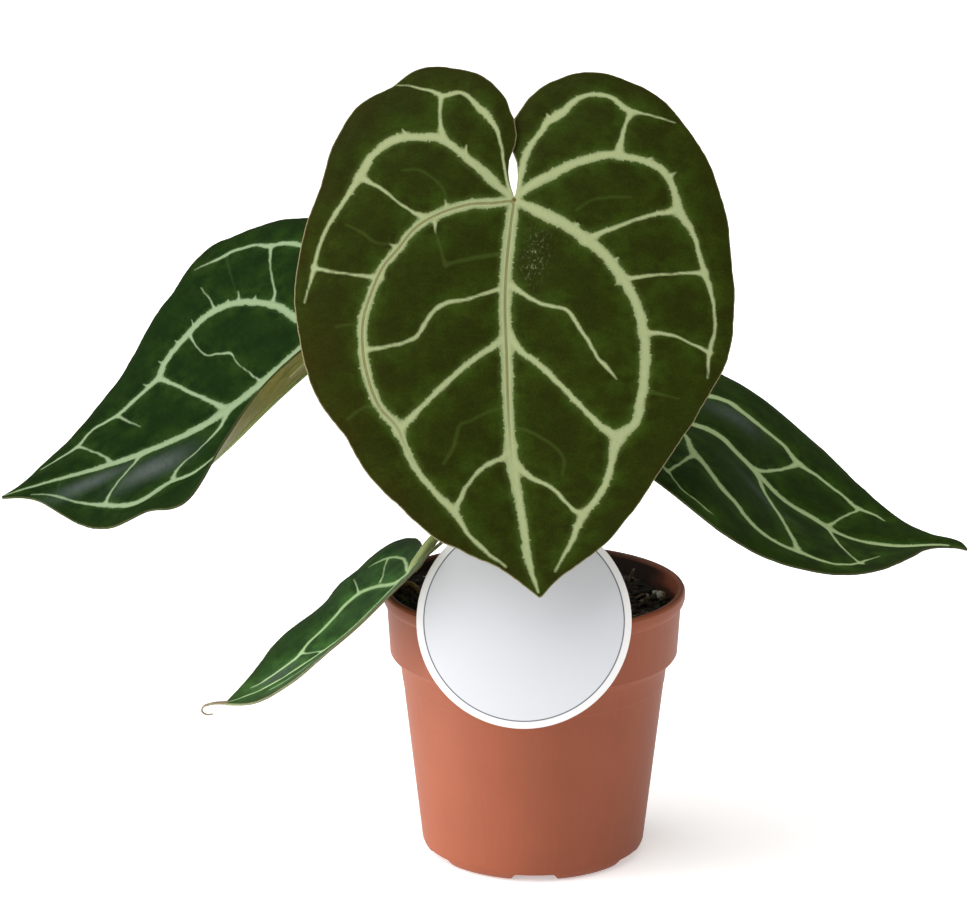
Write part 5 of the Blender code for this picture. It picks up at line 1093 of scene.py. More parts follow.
def build_sheet(leaf, look, settings):
    """One blade as a fine sheet cut to the leaf's outline and laid on its bent surface."""
    name = leaf["name"]
    blade = Blade(leaf)
    bm, tree = clipped_grid(leaf_ring(leaf), look["cell"])
    points = flat_of(bm)
    _, rim = nearest_on_ring(tree, points)
    drawn = wandered(points)
    edge, half, run = vein_fields(drawn, leaf["ribs"] + look["barbs"])
    faint = vein_fields(drawn, look["faint"], 4.0)[0]
    main = [[(x, y, 0.0) for x, y, _ in rib] for rib in leaf["ribs"][:2]]
    core = vein_fields(points, main, 4.0)[0]
    swell = (1 - np.exp(-np.clip(edge, 0, 9) / 4)) * np.clip(rim / 5, 0, 1)
    height = swell * look["quilt"] * settings.quilting + blade_wave(leaf, points, rim)
    across, plus = lapped(leaf, points)
    for vert, spot in zip(bm.verts, blade.place(across, points[:, 1], height, plus)):
        vert.co = spot
    bmesh.ops.reverse_faces(bm, faces=bm.faces)
    mesh = mesh_in_metres(name + "_sheet", bm)
    store(mesh, "flat", np.column_stack([points, np.zeros(len(points))]))
    for label, values in (("edge", edge), ("half", half), ("run", run), ("faint", faint), ("core", core),
                          ("rim", rim), ("age", leaf_age(name, points, rim)),
                          ("sheen_and_scuff", leaf_sheen_and_scuff(look, points))):
        store(mesh, label, values)
    piece = finish_piece(name + "_sheet", mesh, blade_materials(name, look), name + "_blade")
    solidify = piece.modifiers.new("thickness", "SOLIDIFY")
    solidify.thickness = settings.thickness
    solidify.offset = 0.0
    solidify.material_offset = 1
    return tree


def tube_mesh(name, routes, resolution=3):
    """Round tubes with closed ends. Each route holds its points and its radii, in mm."""
    curve = bpy.data.curves.new(name, "CURVE")
    curve.dimensions = "3D"
    curve.bevel_depth = MM
    curve.bevel_resolution = resolution
    curve.use_fill_caps = True
    for points, radii in routes:
        spline = curve.splines.new("POLY")
        spline.points.add(len(points) - 1)
        for knot, point, radius in zip(spline.points, points, radii):
            knot.co = (point[0] * MM, point[1] * MM, point[2] * MM, 1.0)
            knot.radius = radius
    holder = new_object(name, curve)
    mesh = applied_mesh(holder)
    mesh.name = name
    bpy.data.objects.remove(holder, do_unlink=True)
    bpy.data.curves.remove(curve)
    mesh.materials.clear()
    mesh.polygons.foreach_set("use_smooth", [True] * len(mesh.polygons))
    return mesh


def foot_place(leaf):
    angle = math.radians(leaf["foot_angle"])
    return FOOT_RING * math.cos(angle), FOOT_RING * math.sin(angle)


def petiole_route(leaf, blade, thickness):
    """From the potting mix up to the blade's underside, with the swollen knee at its end."""
    x, y = foot_place(leaf)
    junction = np.array(leaf["spine"][0], float)
    up = blade.normal(np.array([0.0]), np.array([0.0]))[0]
    route = [(x, y, PETIOLE_FOOT_Z), (x * 1.02, y * 1.02, SOIL_TOP + 6)] + list(leaf["petiole"])
    if leaf["arrives_below"]:
        route.append(tuple(junction - up * leaf["arrives_below"]))
    route.append(tuple(junction - up * thickness * 0.3))
    route = np.array(route, float)
    chord = run_along(route)
    end = chord[-1]
    at = np.linspace(0, end, int(end / 2.0))
    points = hermite(chord, route, at)
    slim = leaf["petiole_radius"]
    radii = np.interp(at, [0, 14, 24, 46, end - 20, end - 14, end - 4, end - 1.2, end],
                      [PETIOLE_FOOT_RADIUS + 0.3, PETIOLE_FOOT_RADIUS, slim + 0.6, slim + 0.2, slim,
                       slim + KNOB_EXTRA, slim + KNOB_EXTRA + 0.1, slim, slim * 0.7])
    ripple = np.array([noise.noise(Vector((run / 9, x, y))) for run in at])
    return points, radii + 0.12 * ripple


def under_ribs(leaf, blade, tree, settings):
    """Round ridges of the ribs on the underside, sunk so that none shows on the upper side."""
    routes = []
    inner = settings.thickness / MM / 2 - 0.2
    for vein in leaf["ribs"]:
        path = dense(vein, 2.0)
        flat = path[:, :2]
        _, rim = nearest_on_ring(tree, flat)
        wave = blade_wave(leaf, flat, rim)
        radii = np.clip(path[:, 2] * RIB_RADIUS, *RIB_RADIUS_RANGE)
        radii = np.minimum(radii, np.linspace(len(path), 0.5, len(path)) * 0.5 + 0.2)
        sunk = np.maximum(inner, radii - inner)
        across, plus = lapped(leaf, flat)
        routes.append((blade.place(across, flat[:, 1], wave - sunk, plus), radii))
    return routes


def petiole_material(settings):
    """Smooth green stalk, streaked lengthwise and mottled, brown at the foot."""
    web = Paint("petiole_skin")
    where = web.place()
    grain = web.noise(where, 0.5, 4.0, 0.6)
    streaks = web.noise(web.stretch(where, (1.6, 1.6, 0.08)), 1.0, 3.0, 0.6)
    height = web.plus(web.parts(where)[2], web.times(grain, 14.0))
    colour = (*settings.petiole_colour, 1.0)
    for mask, over in ((web.fade(streaks, 0.35, 0.65, 0.0, 0.5), seen((150, 158, 96))),
                       (web.fade(grain, 0.5, 0.75, 0.0, 0.35), seen((104, 88, 52))),
                       (web.fade(height, 122.0, 106.0, 0.0, 0.85), (*settings.sheath_colour, 1.0))):
        colour = web.blend(mask, colour, over)
    return web.coat(colour, web.fade(grain, 0.3, 0.7, 0.34, 0.5),
                    web.plus(web.times(streaks, 0.14), web.times(grain, 0.06)))


def thread_material():
    """The dry brown curl at the young leaf's tip."""
    web = Paint("dry_tip")
    grain = web.noise(web.place(), 1.2, 3.0, 0.6)
    return web.coat(web.blend(grain, seen((72, 62, 44)), seen((138, 124, 92))),
                    web.fade(grain, 0.3, 0.7, 0.55, 0.75), web.times(grain, 0.1))


def inner_radius(z):
    """The inside of the pot's wall at a height."""
    if z >= COLLAR_FOOT_Z:
        share = (z - COLLAR_FOOT_Z) / (POT_HEIGHT - COLLAR_FOOT_Z)
        outer = COLLAR_FOOT_RADIUS + share * (COLLAR_TOP_RADIUS - COLLAR_FOOT_RADIUS)
    else:
        outer = FOOT_RADIUS + z / STEP_Z * (BODY_TOP_RADIUS - FOOT_RADIUS)
    return outer - WALL


def lathe(profile, steps):
    """Spins closed (radius, z) points round Z. Points on the axis close the solid there."""
    bm = bmesh.new()
    verts = [bm.verts.new((radius, 0, z)) for radius, z in profile]
    edges = [bm.edges.new(pair) for pair in zip(verts, verts[1:])]
    if profile[0][0] > 0:
        edges.append(bm.edges.new((verts[-1], verts[0])))
    bmesh.ops.spin(bm, geom=verts + edges, axis=(0, 0, 1), cent=(0, 0, 0), steps=steps,
                   angle=math.tau, use_merge=True)
    bmesh.ops.remove_doubles(bm, verts=bm.verts, dist=0.001)
    bmesh.ops.dissolve_degenerate(bm, dist=0.0005, edges=bm.edges)
    bmesh.ops.recalc_face_normals(bm, faces=bm.faces)
    return bm


def round_hoops(bm, offset):
    """Rounds the sharper edges that run round Z."""
    hoops = []
    for edge in bm.edges:
        a, b = (vert.co for vert in edge.verts)
        level = abs(a.z - b.z) < 1e-4 and abs(math.hypot(a.x, a.y) - math.hypot(b.x, b.y)) < 1e-3
        if level and len(edge.link_faces) == 2 and edge.calc_face_angle(0) > math.radians(HOOP_ANGLE):
            hoops.append(edge)
    soften(bm, hoops, offset, 3)


def foot_cutters():
    """The channels under the foot as one mesh, and the drain holes as another."""
    channels = bmesh.new()
    holes = bmesh.new()
    reach = FOOT_RADIUS + WALL * 2 - CHANNEL_START
    for index in range(CHANNEL_COUNT):
        turn = Matrix.Rotation(math.radians(-90 + index * 360 / CHANNEL_COUNT), 4, "Z")
        box = bmesh.ops.create_cube(channels, size=1.0)["verts"]
        bmesh.ops.scale(channels, vec=(reach, CHANNEL_WIDTH, CHANNEL_HEIGHT * 2), verts=box)
        for vert in box:
            vert.co.y *= CHANNEL_TAPER[vert.co.z > 0]
        drill = bmesh.ops.create_cone(holes, cap_ends=True, segments=28, radius1=DRAIN_RADIUS,
                                      radius2=DRAIN_RADIUS, depth=FLOOR * 4)["verts"]
        for bm, verts, out in ((channels, box, CHANNEL_START + reach / 2), (holes, drill, DRAIN_RING)):
            bmesh.ops.translate(bm, vec=(out, 0, 0), verts=verts)
            bmesh.ops.transform(bm, matrix=turn, verts=verts)
    soften(channels, channels.edges[:], 0.7)
    return channels, holes


def cut_from(piece, bm):
    """Takes a bmesh in mm out of a piece."""
    mesh = mesh_in_metres("cutter", bm)
    cutter = new_object("cutter", mesh)
    boolean = piece.modifiers.new("cut", "BOOLEAN")
    boolean.object = cutter
    boolean.solver = "EXACT"
    cut = applied_mesh(piece)
    piece.modifiers.clear()
    piece.data = cut
    bpy.data.objects.remove(cutter, do_unlink=True)
    bpy.data.meshes.remove(mesh)


def pot_profile():
    slope = (BODY_TOP_RADIUS - FOOT_RADIUS) / STEP_Z
    outside = [(0, 0), (FOOT_RADIUS - FOOT_ROUND, 0)]
    for turn in range(15, 91, 15):
        angle = math.radians(turn)
        outside.append((FOOT_RADIUS - FOOT_ROUND * (1 - math.sin(angle)) + slope * FOOT_ROUND,
                        FOOT_ROUND * (1 - math.cos(angle))))
    seam = STEP_Z - 7.5
    outside += [
        (FOOT_RADIUS + slope * seam - 0.22, seam),
        (FOOT_RADIUS + slope * seam, seam + 0.3),
        (BODY_TOP_RADIUS, STEP_Z),
        (BODY_TOP_RADIUS + 1.0, STEP_Z + 2.2),
        (COLLAR_FOOT_RADIUS - 0.8, COLLAR_FOOT_Z - 0.6),
        (COLLAR_FOOT_RADIUS, COLLAR_FOOT_Z + 0.6),
        (COLLAR_TOP_RADIUS, POT_HEIGHT - LIP_DROP - 0.8),
        (RIM_RADIUS - 0.5, POT_HEIGHT - LIP_DROP + 0.4),
        (RIM_RADIUS, POT_HEIGHT - LIP_DROP + 2.0),
        (RIM_RADIUS, POT_HEIGHT - 1.4),
        (RIM_RADIUS - 0.6, POT_HEIGHT - 0.3),
        (RIM_RADIUS - 1.6, POT_HEIGHT),
        (RIM_RADIUS - 2.7, POT_HEIGHT - 0.4),
    ]
    inside = [
        (inner_radius(POT_HEIGHT - 2), POT_HEIGHT - 2),
        (inner_radius(COLLAR_FOOT_Z), COLLAR_FOOT_Z),
        (BODY_TOP_RADIUS - WALL, STEP_Z + 1.2),
        (BODY_TOP_RADIUS - WALL, STEP_Z - 1.0),
        (inner_radius(FOOT_ROUND + FLOOR), FOOT_ROUND + FLOOR),
        (inner_radius(FLOOR) - 3.0, FLOOR),
        (0, FLOOR),
    ]
    return outside + inside


def pot_material(settings):
    """Terracotta-coloured plastic: flow marks, a fine matt grain, scuffs, soil dirt and painted leaf shadow
    inside the wall, and a darker rim edge at the back and left.
    """
    web = Paint("pot_plastic_fine")
    where = web.place()
    x, y, height = web.parts(where)
    clouds = web.noise(where, 0.035, 3.0, 0.5)
    flow = web.noise(web.stretch(where, (0.5, 0.5, 0.03)), 1.0, 3.0, 0.6)
    grain = web.noise(where, 2.4, 3.0, 0.7)
    scuffs = web.noise(web.stretch(where, (0.2, 0.2, 1.4)), 1.0, 5.0, 0.8)
    darker = tuple(value * 0.88 for value in settings.plastic) + (1.0,)
    lighter = tuple(min(1.0, value * 1.18 + 0.01) for value in settings.plastic) + (1.0,)
    colour = (*settings.plastic, 1.0)
    for mask, over in ((web.fade(clouds, 0.3, 0.7, 0.0, 0.6), darker),
                       (web.fade(flow, 0.45, 0.75, 0.0, 0.12), lighter),
                       (web.fade(scuffs, 0.66, 0.8, 0.0, 0.25), seen((214, 160, 136))),
                       (web.fade(height, 3.0, 0.0, 0.0, 0.25), darker)):
        colour = web.blend(mask, colour, over)
    away = web.off_axis(x, y)
    inside = web.times(web.fade(away, 57.05, 56.85), web.fade(height, 108.8, 107.2))
    inside = web.times(inside, web.fade(height, 82.6, 84.0))
    # Inside the wall the back and the left are dark: partly soil stain and partly painted shadow of the
    # leaves. Soil splashes darken it in patches near the bed.
    turn = web.plus(web.maths("ARCTAN2", y, x), web.times(clouds, 0.5))
    stain_and_shade = web.fade(turn, 0.55, 0.85, 0.0, 0.96)
    splash = web.fade(web.less(height, web.times(scuffs, 9.0)), 100.5, 96.5, 0.0, 0.85)
    dirt_and_shade = web.times(web.maths("MAXIMUM", stain_and_shade, splash), inside)
    # The rim's outer edge is darker round the back and the left, in the same dark colour.
    darker_back_rim = web.times(web.fade(away, 60.1, 59.7), web.fade(height, 102.0, 103.5))
    darker_back_rim = web.times(darker_back_rim, web.fade(turn, 0.5, 1.1, 0.0, 0.75))
    colour = web.blend(web.maths("MAXIMUM", dirt_and_shade, darker_back_rim), colour, POT_DIRT_AND_SHADE)
    rough = web.plus(web.fade(grain, 0.25, 0.75, 0.46, 0.58), web.fade(scuffs, 0.6, 0.8, 0.0, 0.12))
    relief = web.plus(web.times(grain, 0.035), web.times(flow, 0.05))
    return web.coat(colour, rough, relief, 0.5, 0.16)


def bed_height(x, y, seed):
    """The potting mix's rough top, higher at the back and left, with a heap at the near left."""
    spot = Vector((x, y, seed * 3.7))
    top = SOIL_TOP
    for size, rise in BED_BUMPS:
        top += noise.noise(spot / size) * rise
    tilt = min(max(0.045 * (y - x), -1.0), 3.2)
    heap = 3.6 * math.exp(-((x - HEAP_PLACE[0]) ** 2 + (y - HEAP_PLACE[1]) ** 2) / 160)
    return top + tilt + heap - 0.6


def bed_material(settings):
    """Moist dark peat with paler fibres and crumbs."""
    web = Paint("peat_bed")
    where = web.place()
    grain = web.noise(where, 1.2, 6.0, 0.75)
    damp = web.noise(where, 0.08, 3.0, 0.5)
    fibres = web.noise(web.stretch(where, (0.4, 2.2, 1.0)), 0.8, 4.0, 0.6)
    dim_bark = tuple(value * 0.6 for value in settings.bark) + (1.0,)
    colour = (*settings.peat, 1.0)
    for mask, over in ((web.fade(grain, 0.4, 0.72, 0.0, 0.8), dim_bark),
                       (web.fade(fibres, 0.66, 0.78, 0.0, 0.7), (*settings.bark, 1.0)),
                       (web.fade(damp, 0.3, 0.7, 0.0, 0.5), WET_PEAT)):
        colour = web.blend(mask, colour, over)
    relief = web.plus(web.times(grain, 1.2), web.times(web.cells(where, 0.55, "F1"), 0.5))
    return web.coat(colour, web.fade(damp, 0.35, 0.7, 0.9, 0.65), relief, 0.8, 0.25)


def bits_material():
    """Crumbs and chips, each in its own colour, mottled."""
    web = Paint("mix_bits")
    grain = web.noise(web.place(), 1.6, 5.0, 0.7)
    shade = web.grey(web.fade(grain, 0.25, 0.8, 0.45, 1.5))
    return web.coat(web.blend(1.0, web.value("tint", "Color"), shade, "MULTIPLY"),
                    web.fade(grain, 0.3, 0.7, 0.65, 0.9), web.times(grain, 0.6), gloss=0.3)


# Colours of the mix's bits, linear
BARK_TINTS = ((0.05, 0.025, 0.012), (0.024, 0.013, 0.007), (0.07, 0.042, 0.024), (0.013, 0.008, 0.006),
              (0.007, 0.005, 0.004), (0.007, 0.005, 0.004), (0.013, 0.009, 0.007))
PERLITE_TINT = (0.36, 0.34, 0.3)
SPLINTER_TINT = (0.15, 0.11, 0.075)
MOSS_TINTS = ((0.022, 0.034, 0.008), (0.034, 0.044, 0.014), (0.014, 0.022, 0.006))
# Place across the pot and size of each bigger lump of perlite
PERLITE_SPOTS = ((51.0, 9.0, 2.6), (45.5, 11.0, 1.0), (49.0, 14.0, 1.2), (43.5, 6.0, 0.9),
                 (-38.0, 20.0, 1.8), (14.0, 36.0, 1.6), (-14.0, 42.0, 1.5), (30.0, 30.0, 1.2))
# Foot and top of each upright sliver of bark, and how wide it is.
SPLINTERS = (((37.5, 18.5, 101.5), (40.5, 17.5, 110.0), 2.6), ((41.0, 8.0, 100.5), (43.5, 2.5, 104.0), 1.6),
             ((-12.0, 30.0, 102.0), (-16.0, 33.0, 108.0), 2.4),
             ((8.0, 40.0, 101.5), (14.0, 41.0, 106.0), 2.0))
CRUMB_SIZES = (0.6, 0.8, 0.8, 1.0, 1.2, 1.5, 2.0, 2.6)
PERLITE_CRUMBS = 60
# Where moss and crumbs gather: the way from the pot's axis in degrees, its spread, and how many.
MOSS_PATCHES = ((-26, 15, 170), (196, 12, 110))
FIBRE_COUNT = 90


def scatter_bits(settings):
    """Lumps of bark, peat, perlite and moss on the bed, each a stretched icosphere, and slivers."""
    draw = random.Random(settings.seed)
    bm = bmesh.new()
    tint = bm.verts.layers.float_vector.new("tint")

    def drop(x, y, size, colour, sides, sink=0.25):
        turn = Matrix.Rotation(draw.uniform(0, math.tau), 4, "Z")
        lean = Matrix.Rotation(draw.uniform(-0.7, 0.7), 4, draw.choice("XY"))
        stretch = Matrix.Diagonal((size * draw.uniform(0.7, 1.7), size * draw.uniform(0.5, 1.0),
                                   size * draw.uniform(0.35, 0.8), 1.0))
        z = bed_height(x, y, settings.seed) + size * sink
        made = bmesh.ops.create_icosphere(bm, subdivisions=sides, radius=1.0,
                                          matrix=Matrix.Translation((x, y, z)) @ turn @ lean @ stretch)
        for vert in made["verts"]:
            rough = noise.noise(vert.co * 1.3) * 0.5 * size * 0.6
            vert.co += Vector((rough, rough * 0.7, rough * 0.5))
            vert[tint] = colour

    reach = inner_radius(SOIL_TOP) - 2.5
    for _ in range(settings.crumbs):
        away = reach * math.sqrt(draw.random())
        angle = draw.uniform(0, math.tau)
        size = draw.choice(CRUMB_SIZES)
        drop(away * math.cos(angle), away * math.sin(angle), size, draw.choice(BARK_TINTS),
             2 if size > 1.4 else 1)
    for x, y, size in PERLITE_SPOTS:
        drop(x, y, size, PERLITE_TINT, 2, 0.6)
    for _ in range(PERLITE_CRUMBS):
        away = reach * math.sqrt(draw.random())
        angle = draw.uniform(0, math.tau)
        drop(away * math.cos(angle), away * math.sin(angle), draw.uniform(0.4, 0.9), PERLITE_TINT, 1, 0.5)
    for middle, spread, count in MOSS_PATCHES:
        for _ in range(count):
            angle = math.radians(draw.gauss(middle, spread))
            away = reach + 0.5 - abs(draw.gauss(0, 6))
            drop(away * math.cos(angle), away * math.sin(angle), draw.uniform(0.5, 1.4),
                 draw.choice(MOSS_TINTS + BARK_TINTS[:2]), 1, 0.6)
    for foot, top, width in SPLINTERS:
        way = Vector(top) - Vector(foot)
        made = bmesh.ops.create_cube(bm, size=1.0)["verts"]
        bmesh.ops.scale(bm, vec=(width, 0.8, way.length), verts=made)
        bmesh.ops.rotate(bm, matrix=way.to_track_quat("Z", "Y").to_matrix(), verts=made)
        bmesh.ops.translate(bm, vec=Vector(foot) + way / 2, verts=made)
        soften(bm, list({edge for vert in made for edge in vert.link_edges}), 0.25)
    for vert in bm.verts:
        if not any(vert[tint]):
            vert[tint] = SPLINTER_TINT
    return bm


# A thicker root that loops out of the mix on the left
ROOT_STUB = ((-55.0, 3.0, 105.0), (-53.0, 2.0, 107.6), (-49.5, 1.0, 108.6), (-46.5, 0.0, 107.0),
             (-44.5, -1.0, 102.0))


def fibre_routes(settings):
    """Fibres that lie across the bed, and one thicker root that loops out of it."""
    draw = random.Random(settings.seed + 5)
    reach = inner_radius(SOIL_TOP) - 4
    routes = []
    for _ in range(FIBRE_COUNT):
        away = reach * math.sqrt(draw.random()) * 0.9
        angle = draw.uniform(0, math.tau)
        x, y = away * math.cos(angle), away * math.sin(angle)
        heading = draw.uniform(0, math.tau)
        points = []
        for _ in range(draw.randint(5, 11)):
            points.append((x, y, bed_height(x, y, settings.seed) + 0.5))
            heading += draw.uniform(-0.6, 0.6)
            x += 1.8 * math.cos(heading)
            y += 1.8 * math.sin(heading)
            if math.hypot(x, y) > reach:
                break
        if len(points) > 2:
            thick = draw.uniform(0.15, 0.4)
            routes.append((points, np.linspace(thick, thick * 0.5, len(points))))
    stub = dense(ROOT_STUB, 0.8, 3)
    routes.append((stub, np.linspace(1.5, 1.2, len(stub))))
    return routes


def fibre_material(settings):
    web = Paint("root_fibres")
    where = web.place()
    grain = web.noise(where, 0.35, 3.0, 0.6)
    colour = web.blend(web.fade(grain, 0.35, 0.65), (*settings.bark, 1.0), seen((150, 116, 78)))
    return web.coat(colour, web.fade(grain, 0.3, 0.7, 0.6, 0.8),
                    web.times(web.noise(where, 2.0, 3.0, 0.6), 0.3))


def bark_material():
    """The crown's brown rind with pale ring scars."""
    web = Paint("crown_rind")
    where = web.place()
    rings = web.noise(web.stretch(where, (0.1, 0.1, 1.1)), 1.0, 3.0, 0.6)
    grain = web.noise(where, 0.9, 5.0, 0.7)
    colour = web.blend(web.fade(rings, 0.35, 0.65), seen((74, 56, 34)), seen((124, 104, 68)))
    colour = web.blend(web.fade(grain, 0.5, 0.75, 0.0, 0.7), colour, seen((48, 36, 24)))
    return web.coat(colour, web.fade(grain, 0.3, 0.7, 0.65, 0.85),
                    web.plus(web.times(rings, 0.6), web.times(grain, 0.4)))


def tag_axes():
    tilt = math.radians(TAG_TILT)
    return Vector((0, -math.cos(tilt), math.sin(tilt))), Vector((0, math.sin(tilt), math.cos(tilt)))


def tag_material(settings):
    """White coated board with one thin ring line, a paler band outside it and a fine tooth."""
    web = Paint("tag_print")
    mapping = web.node("ShaderNodeMapping", vector_type="POINT")
    where = web.node("ShaderNodeTexCoord").outputs["Object"]
    web.feed(mapping.inputs["Vector"], web.vector("SUBTRACT", where, tuple(TAG_CENTRE * MM)))
    mapping.inputs["Rotation"].default_value[0] = math.radians(TAG_TILT)
    x, depth, y = web.parts(mapping.outputs["Vector"])
    away = web.off_axis(x, y)
    off = web.maths("ABSOLUTE", web.less(away, settings.line_radius))
    half = settings.line_width / 2
    line = web.times(web.fade(off, half * 1.25, half * 0.75), web.fade(depth, 0.0, -0.0002))
    grain = web.noise(where, 900.0, 3.0, 0.6)
    clouds = web.noise(where, 16.0, 2.0, 0.5)
    band = web.fade(away, settings.line_radius, settings.line_radius + 0.0006)
    colour = web.blend(band, (*settings.board, 1.0), PALER_BOARD)
    colour = web.blend(web.fade(clouds, 0.3, 0.7, 0.0, 0.2), colour, seen((210, 212, 217)))
    colour = web.blend(web.times(line, 0.92), colour, (*settings.line, 1.0))
    return web.coat(colour, web.fade(grain, 0.3, 0.7, 0.34, 0.44), web.times(grain, 0.01))


def build_disc():
    normal, up = tag_axes()
    bm = bmesh.new()
    bmesh.ops.create_cone(bm, cap_ends=True, segments=160, radius1=TAG_RADIUS, radius2=TAG_RADIUS,
                          depth=TAG_THICKNESS)
    soften(bm, [edge for edge in bm.edges if edge.calc_face_angle(0) > 1.0], 0.22)
    turn = Matrix((Vector((1, 0, 0)), up, normal)).transposed()
    bmesh.ops.rotate(bm, cent=(0, 0, 0), matrix=turn, verts=bm.verts)
    bmesh.ops.translate(bm, vec=TAG_CENTRE, verts=bm.verts)
    bmesh.ops.recalc_face_normals(bm, faces=bm.faces)
    return bm


def loft(loops):
    """Joins equal loops of points, one after the other, and closes the two ends."""
    bm = bmesh.new()
    rows = []
    for loop in loops:
        verts = [bm.verts.new(point) for point in loop]
        rows.append([bm.edges.new(pair) for pair in zip(verts, verts[1:] + verts[:1])])
    for low, high in zip(rows, rows[1:]):
        bmesh.ops.bridge_loops(bm, edges=low + high)
    for row in (rows[0], rows[-1]):
        bmesh.ops.edgeloop_fill(bm, edges=row)
    bmesh.ops.recalc_face_normals(bm, faces=bm.faces)
    return bm


def build_stake():
    """The bent strip behind the disc, from its top end down to its point in the mix."""
    normal, up = tag_axes()
    back = TAG_CENTRE - normal * (TAG_THICKNESS / 2 + TAG_GAP + STAKE_THICKNESS / 2)
    top = back + up * STAKE_TOP
    bend = back + up * STAKE_BEND
    way = (STAKE_FOOT - bend).normalized()
    side = Vector((0, way.z, -way.y))
    middle = (normal + side).normalized()
    stops = [(top, normal, 0.8), (top - up * 1.5, normal, 1.0), (bend + up * 2, normal, 1.0),
             (bend, middle, 1.0), (bend + way * 2, side, 1.0), (STAKE_FOOT - way * 8, side, 1.0),
             (STAKE_FOOT, side, 0.35)]
    loops = []
    for centre, out, share in stops:
        across = Vector((STAKE_WIDTH / 2 * share, 0, 0))
        lift = out * (STAKE_THICKNESS / 2)
        loops.append([centre - across - lift, centre + across - lift, centre + across + lift,
                      centre - across + lift])
    bm = loft(loops)
    soften(bm, [edge for edge in bm.edges if edge.calc_face_angle(0) > 1.0], 0.15)
    return bm


def build_crown():
    """The short stem with its ring scars, slightly uneven."""
    profile = [(0, CROWN_BOTTOM), (CROWN_RADIUS - 2.5, CROWN_BOTTOM)]
    rings = 7
    for index in range(rings):
        z = CROWN_BOTTOM + 2 + index * (CROWN_TOP - CROWN_BOTTOM - 7) / (rings - 1)
        profile += [(CROWN_RADIUS - 0.9, z), (CROWN_RADIUS, z + 1.0), (CROWN_RADIUS - 0.3, z + 2.4)]
    profile += [(CROWN_RADIUS - 3.0, CROWN_TOP - 0.6), (CROWN_RADIUS - 5.0, CROWN_TOP), (0, CROWN_TOP)]
    bm = lathe(profile, 48)
    for vert in bm.verts:
        push = noise.noise(vert.co / 4.0) * 0.6
        vert.co.x *= 1 + push / CROWN_RADIUS
        vert.co.y *= 1 + push / CROWN_RADIUS
    return bm


def build_sheaths():
    """Dry pointed bracts that wrap the feet of the petioles, as thin bent plates."""
    bm = bmesh.new()
    for index, (leaf, _) in enumerate(LEAVES):
        x, y = foot_place(leaf)
        outward = math.atan2(y, x)
        made = bmesh.ops.create_grid(bm, x_segments=10, y_segments=14, size=1.0)["verts"]
        tall = SHEATH_HEIGHTS[index]
        for vert in made:
            across, rise = vert.co.x, (vert.co.y + 1) / 2
            wide = 1.25 * (1 - rise ** 2.2) + 0.03
            turn = outward + across * wide
            radius = PETIOLE_FOOT_RADIUS + 1.0 + 1.6 * rise ** 2 + 0.25 * math.sin(across * 5 + index)
            vert.co = Vector((x + radius * math.cos(turn), y + radius * math.sin(turn),
                              SOIL_TOP - 4 + tall * rise - 1.5 * abs(across) * rise))
    return bm


def sheath_material(settings):
    web = Paint("dry_sheath")
    where = web.place()
    streaks = web.noise(web.stretch(where, (1.4, 1.4, 0.12)), 1.0, 4.0, 0.65)
    grain = web.noise(where, 0.8, 4.0, 0.6)
    colour = web.blend(web.fade(streaks, 0.35, 0.65), (*settings.sheath_colour, 1.0), seen((158, 122, 82)))
    colour = web.blend(web.fade(grain, 0.55, 0.75, 0.0, 0.6), colour, seen((70, 46, 28)))
    return web.coat(colour, web.fade(grain, 0.3, 0.7, 0.6, 0.8),
                    web.plus(web.times(streaks, 0.4), web.times(grain, 0.1)))


def build_bed(settings):
    """The potting mix as one closed body with a rough top."""
    gap = TAG_GAP
    bottom = FLOOR + gap
    profile = [(0, bottom), (inner_radius(FLOOR) - 3.0 - gap, bottom),
               (inner_radius(FOOT_ROUND + FLOOR) - gap, FOOT_ROUND + FLOOR),
               (BODY_TOP_RADIUS - WALL - gap, STEP_Z - 1.0),
               (BODY_TOP_RADIUS - WALL - gap, STEP_Z + 1.2 + gap),
               (inner_radius(COLLAR_FOOT_Z) - gap, COLLAR_FOOT_Z + gap)]
    rim = inner_radius(SOIL_TOP) - gap
    rings = 62
    profile += [(rim * (1 - step / rings), SOIL_TOP) for step in range(rings)] + [(0, SOIL_TOP)]
    bm = lathe(profile, 240)
    for vert in bm.verts:
        if vert.co.z > SOIL_TOP - 0.01:
            vert.co.z = bed_height(vert.co.x, vert.co.y, settings.seed)
    return bm


def floor_material(settings):
    web = Paint("studio_floor")
    where = web.place(1.0)
    clouds = web.noise(where, 3.0, 2.0, 0.5)
    dim = tuple(value * 0.985 for value in settings.floor) + (1.0,)
    web.shader.inputs["Emission Color"].default_value = WHITE
    web.shader.inputs["Emission Strength"].default_value = settings.glow
    return web.coat(web.blend(clouds, (*settings.floor, 1.0), dim), web.fade(clouds, 0.3, 0.7, 0.7, 0.76),
                    web.times(web.noise(where, 400.0, 2.0, 0.5), 0.01))


def add_light(light, place, target):
    """Hangs a light at a place and turns it to its target."""
    holder = new_object(light.name, light)
    holder.location = place
    holder.rotation_euler = (Vector(target) - Vector(place)).to_track_quat("-Z", "Y").to_euler()


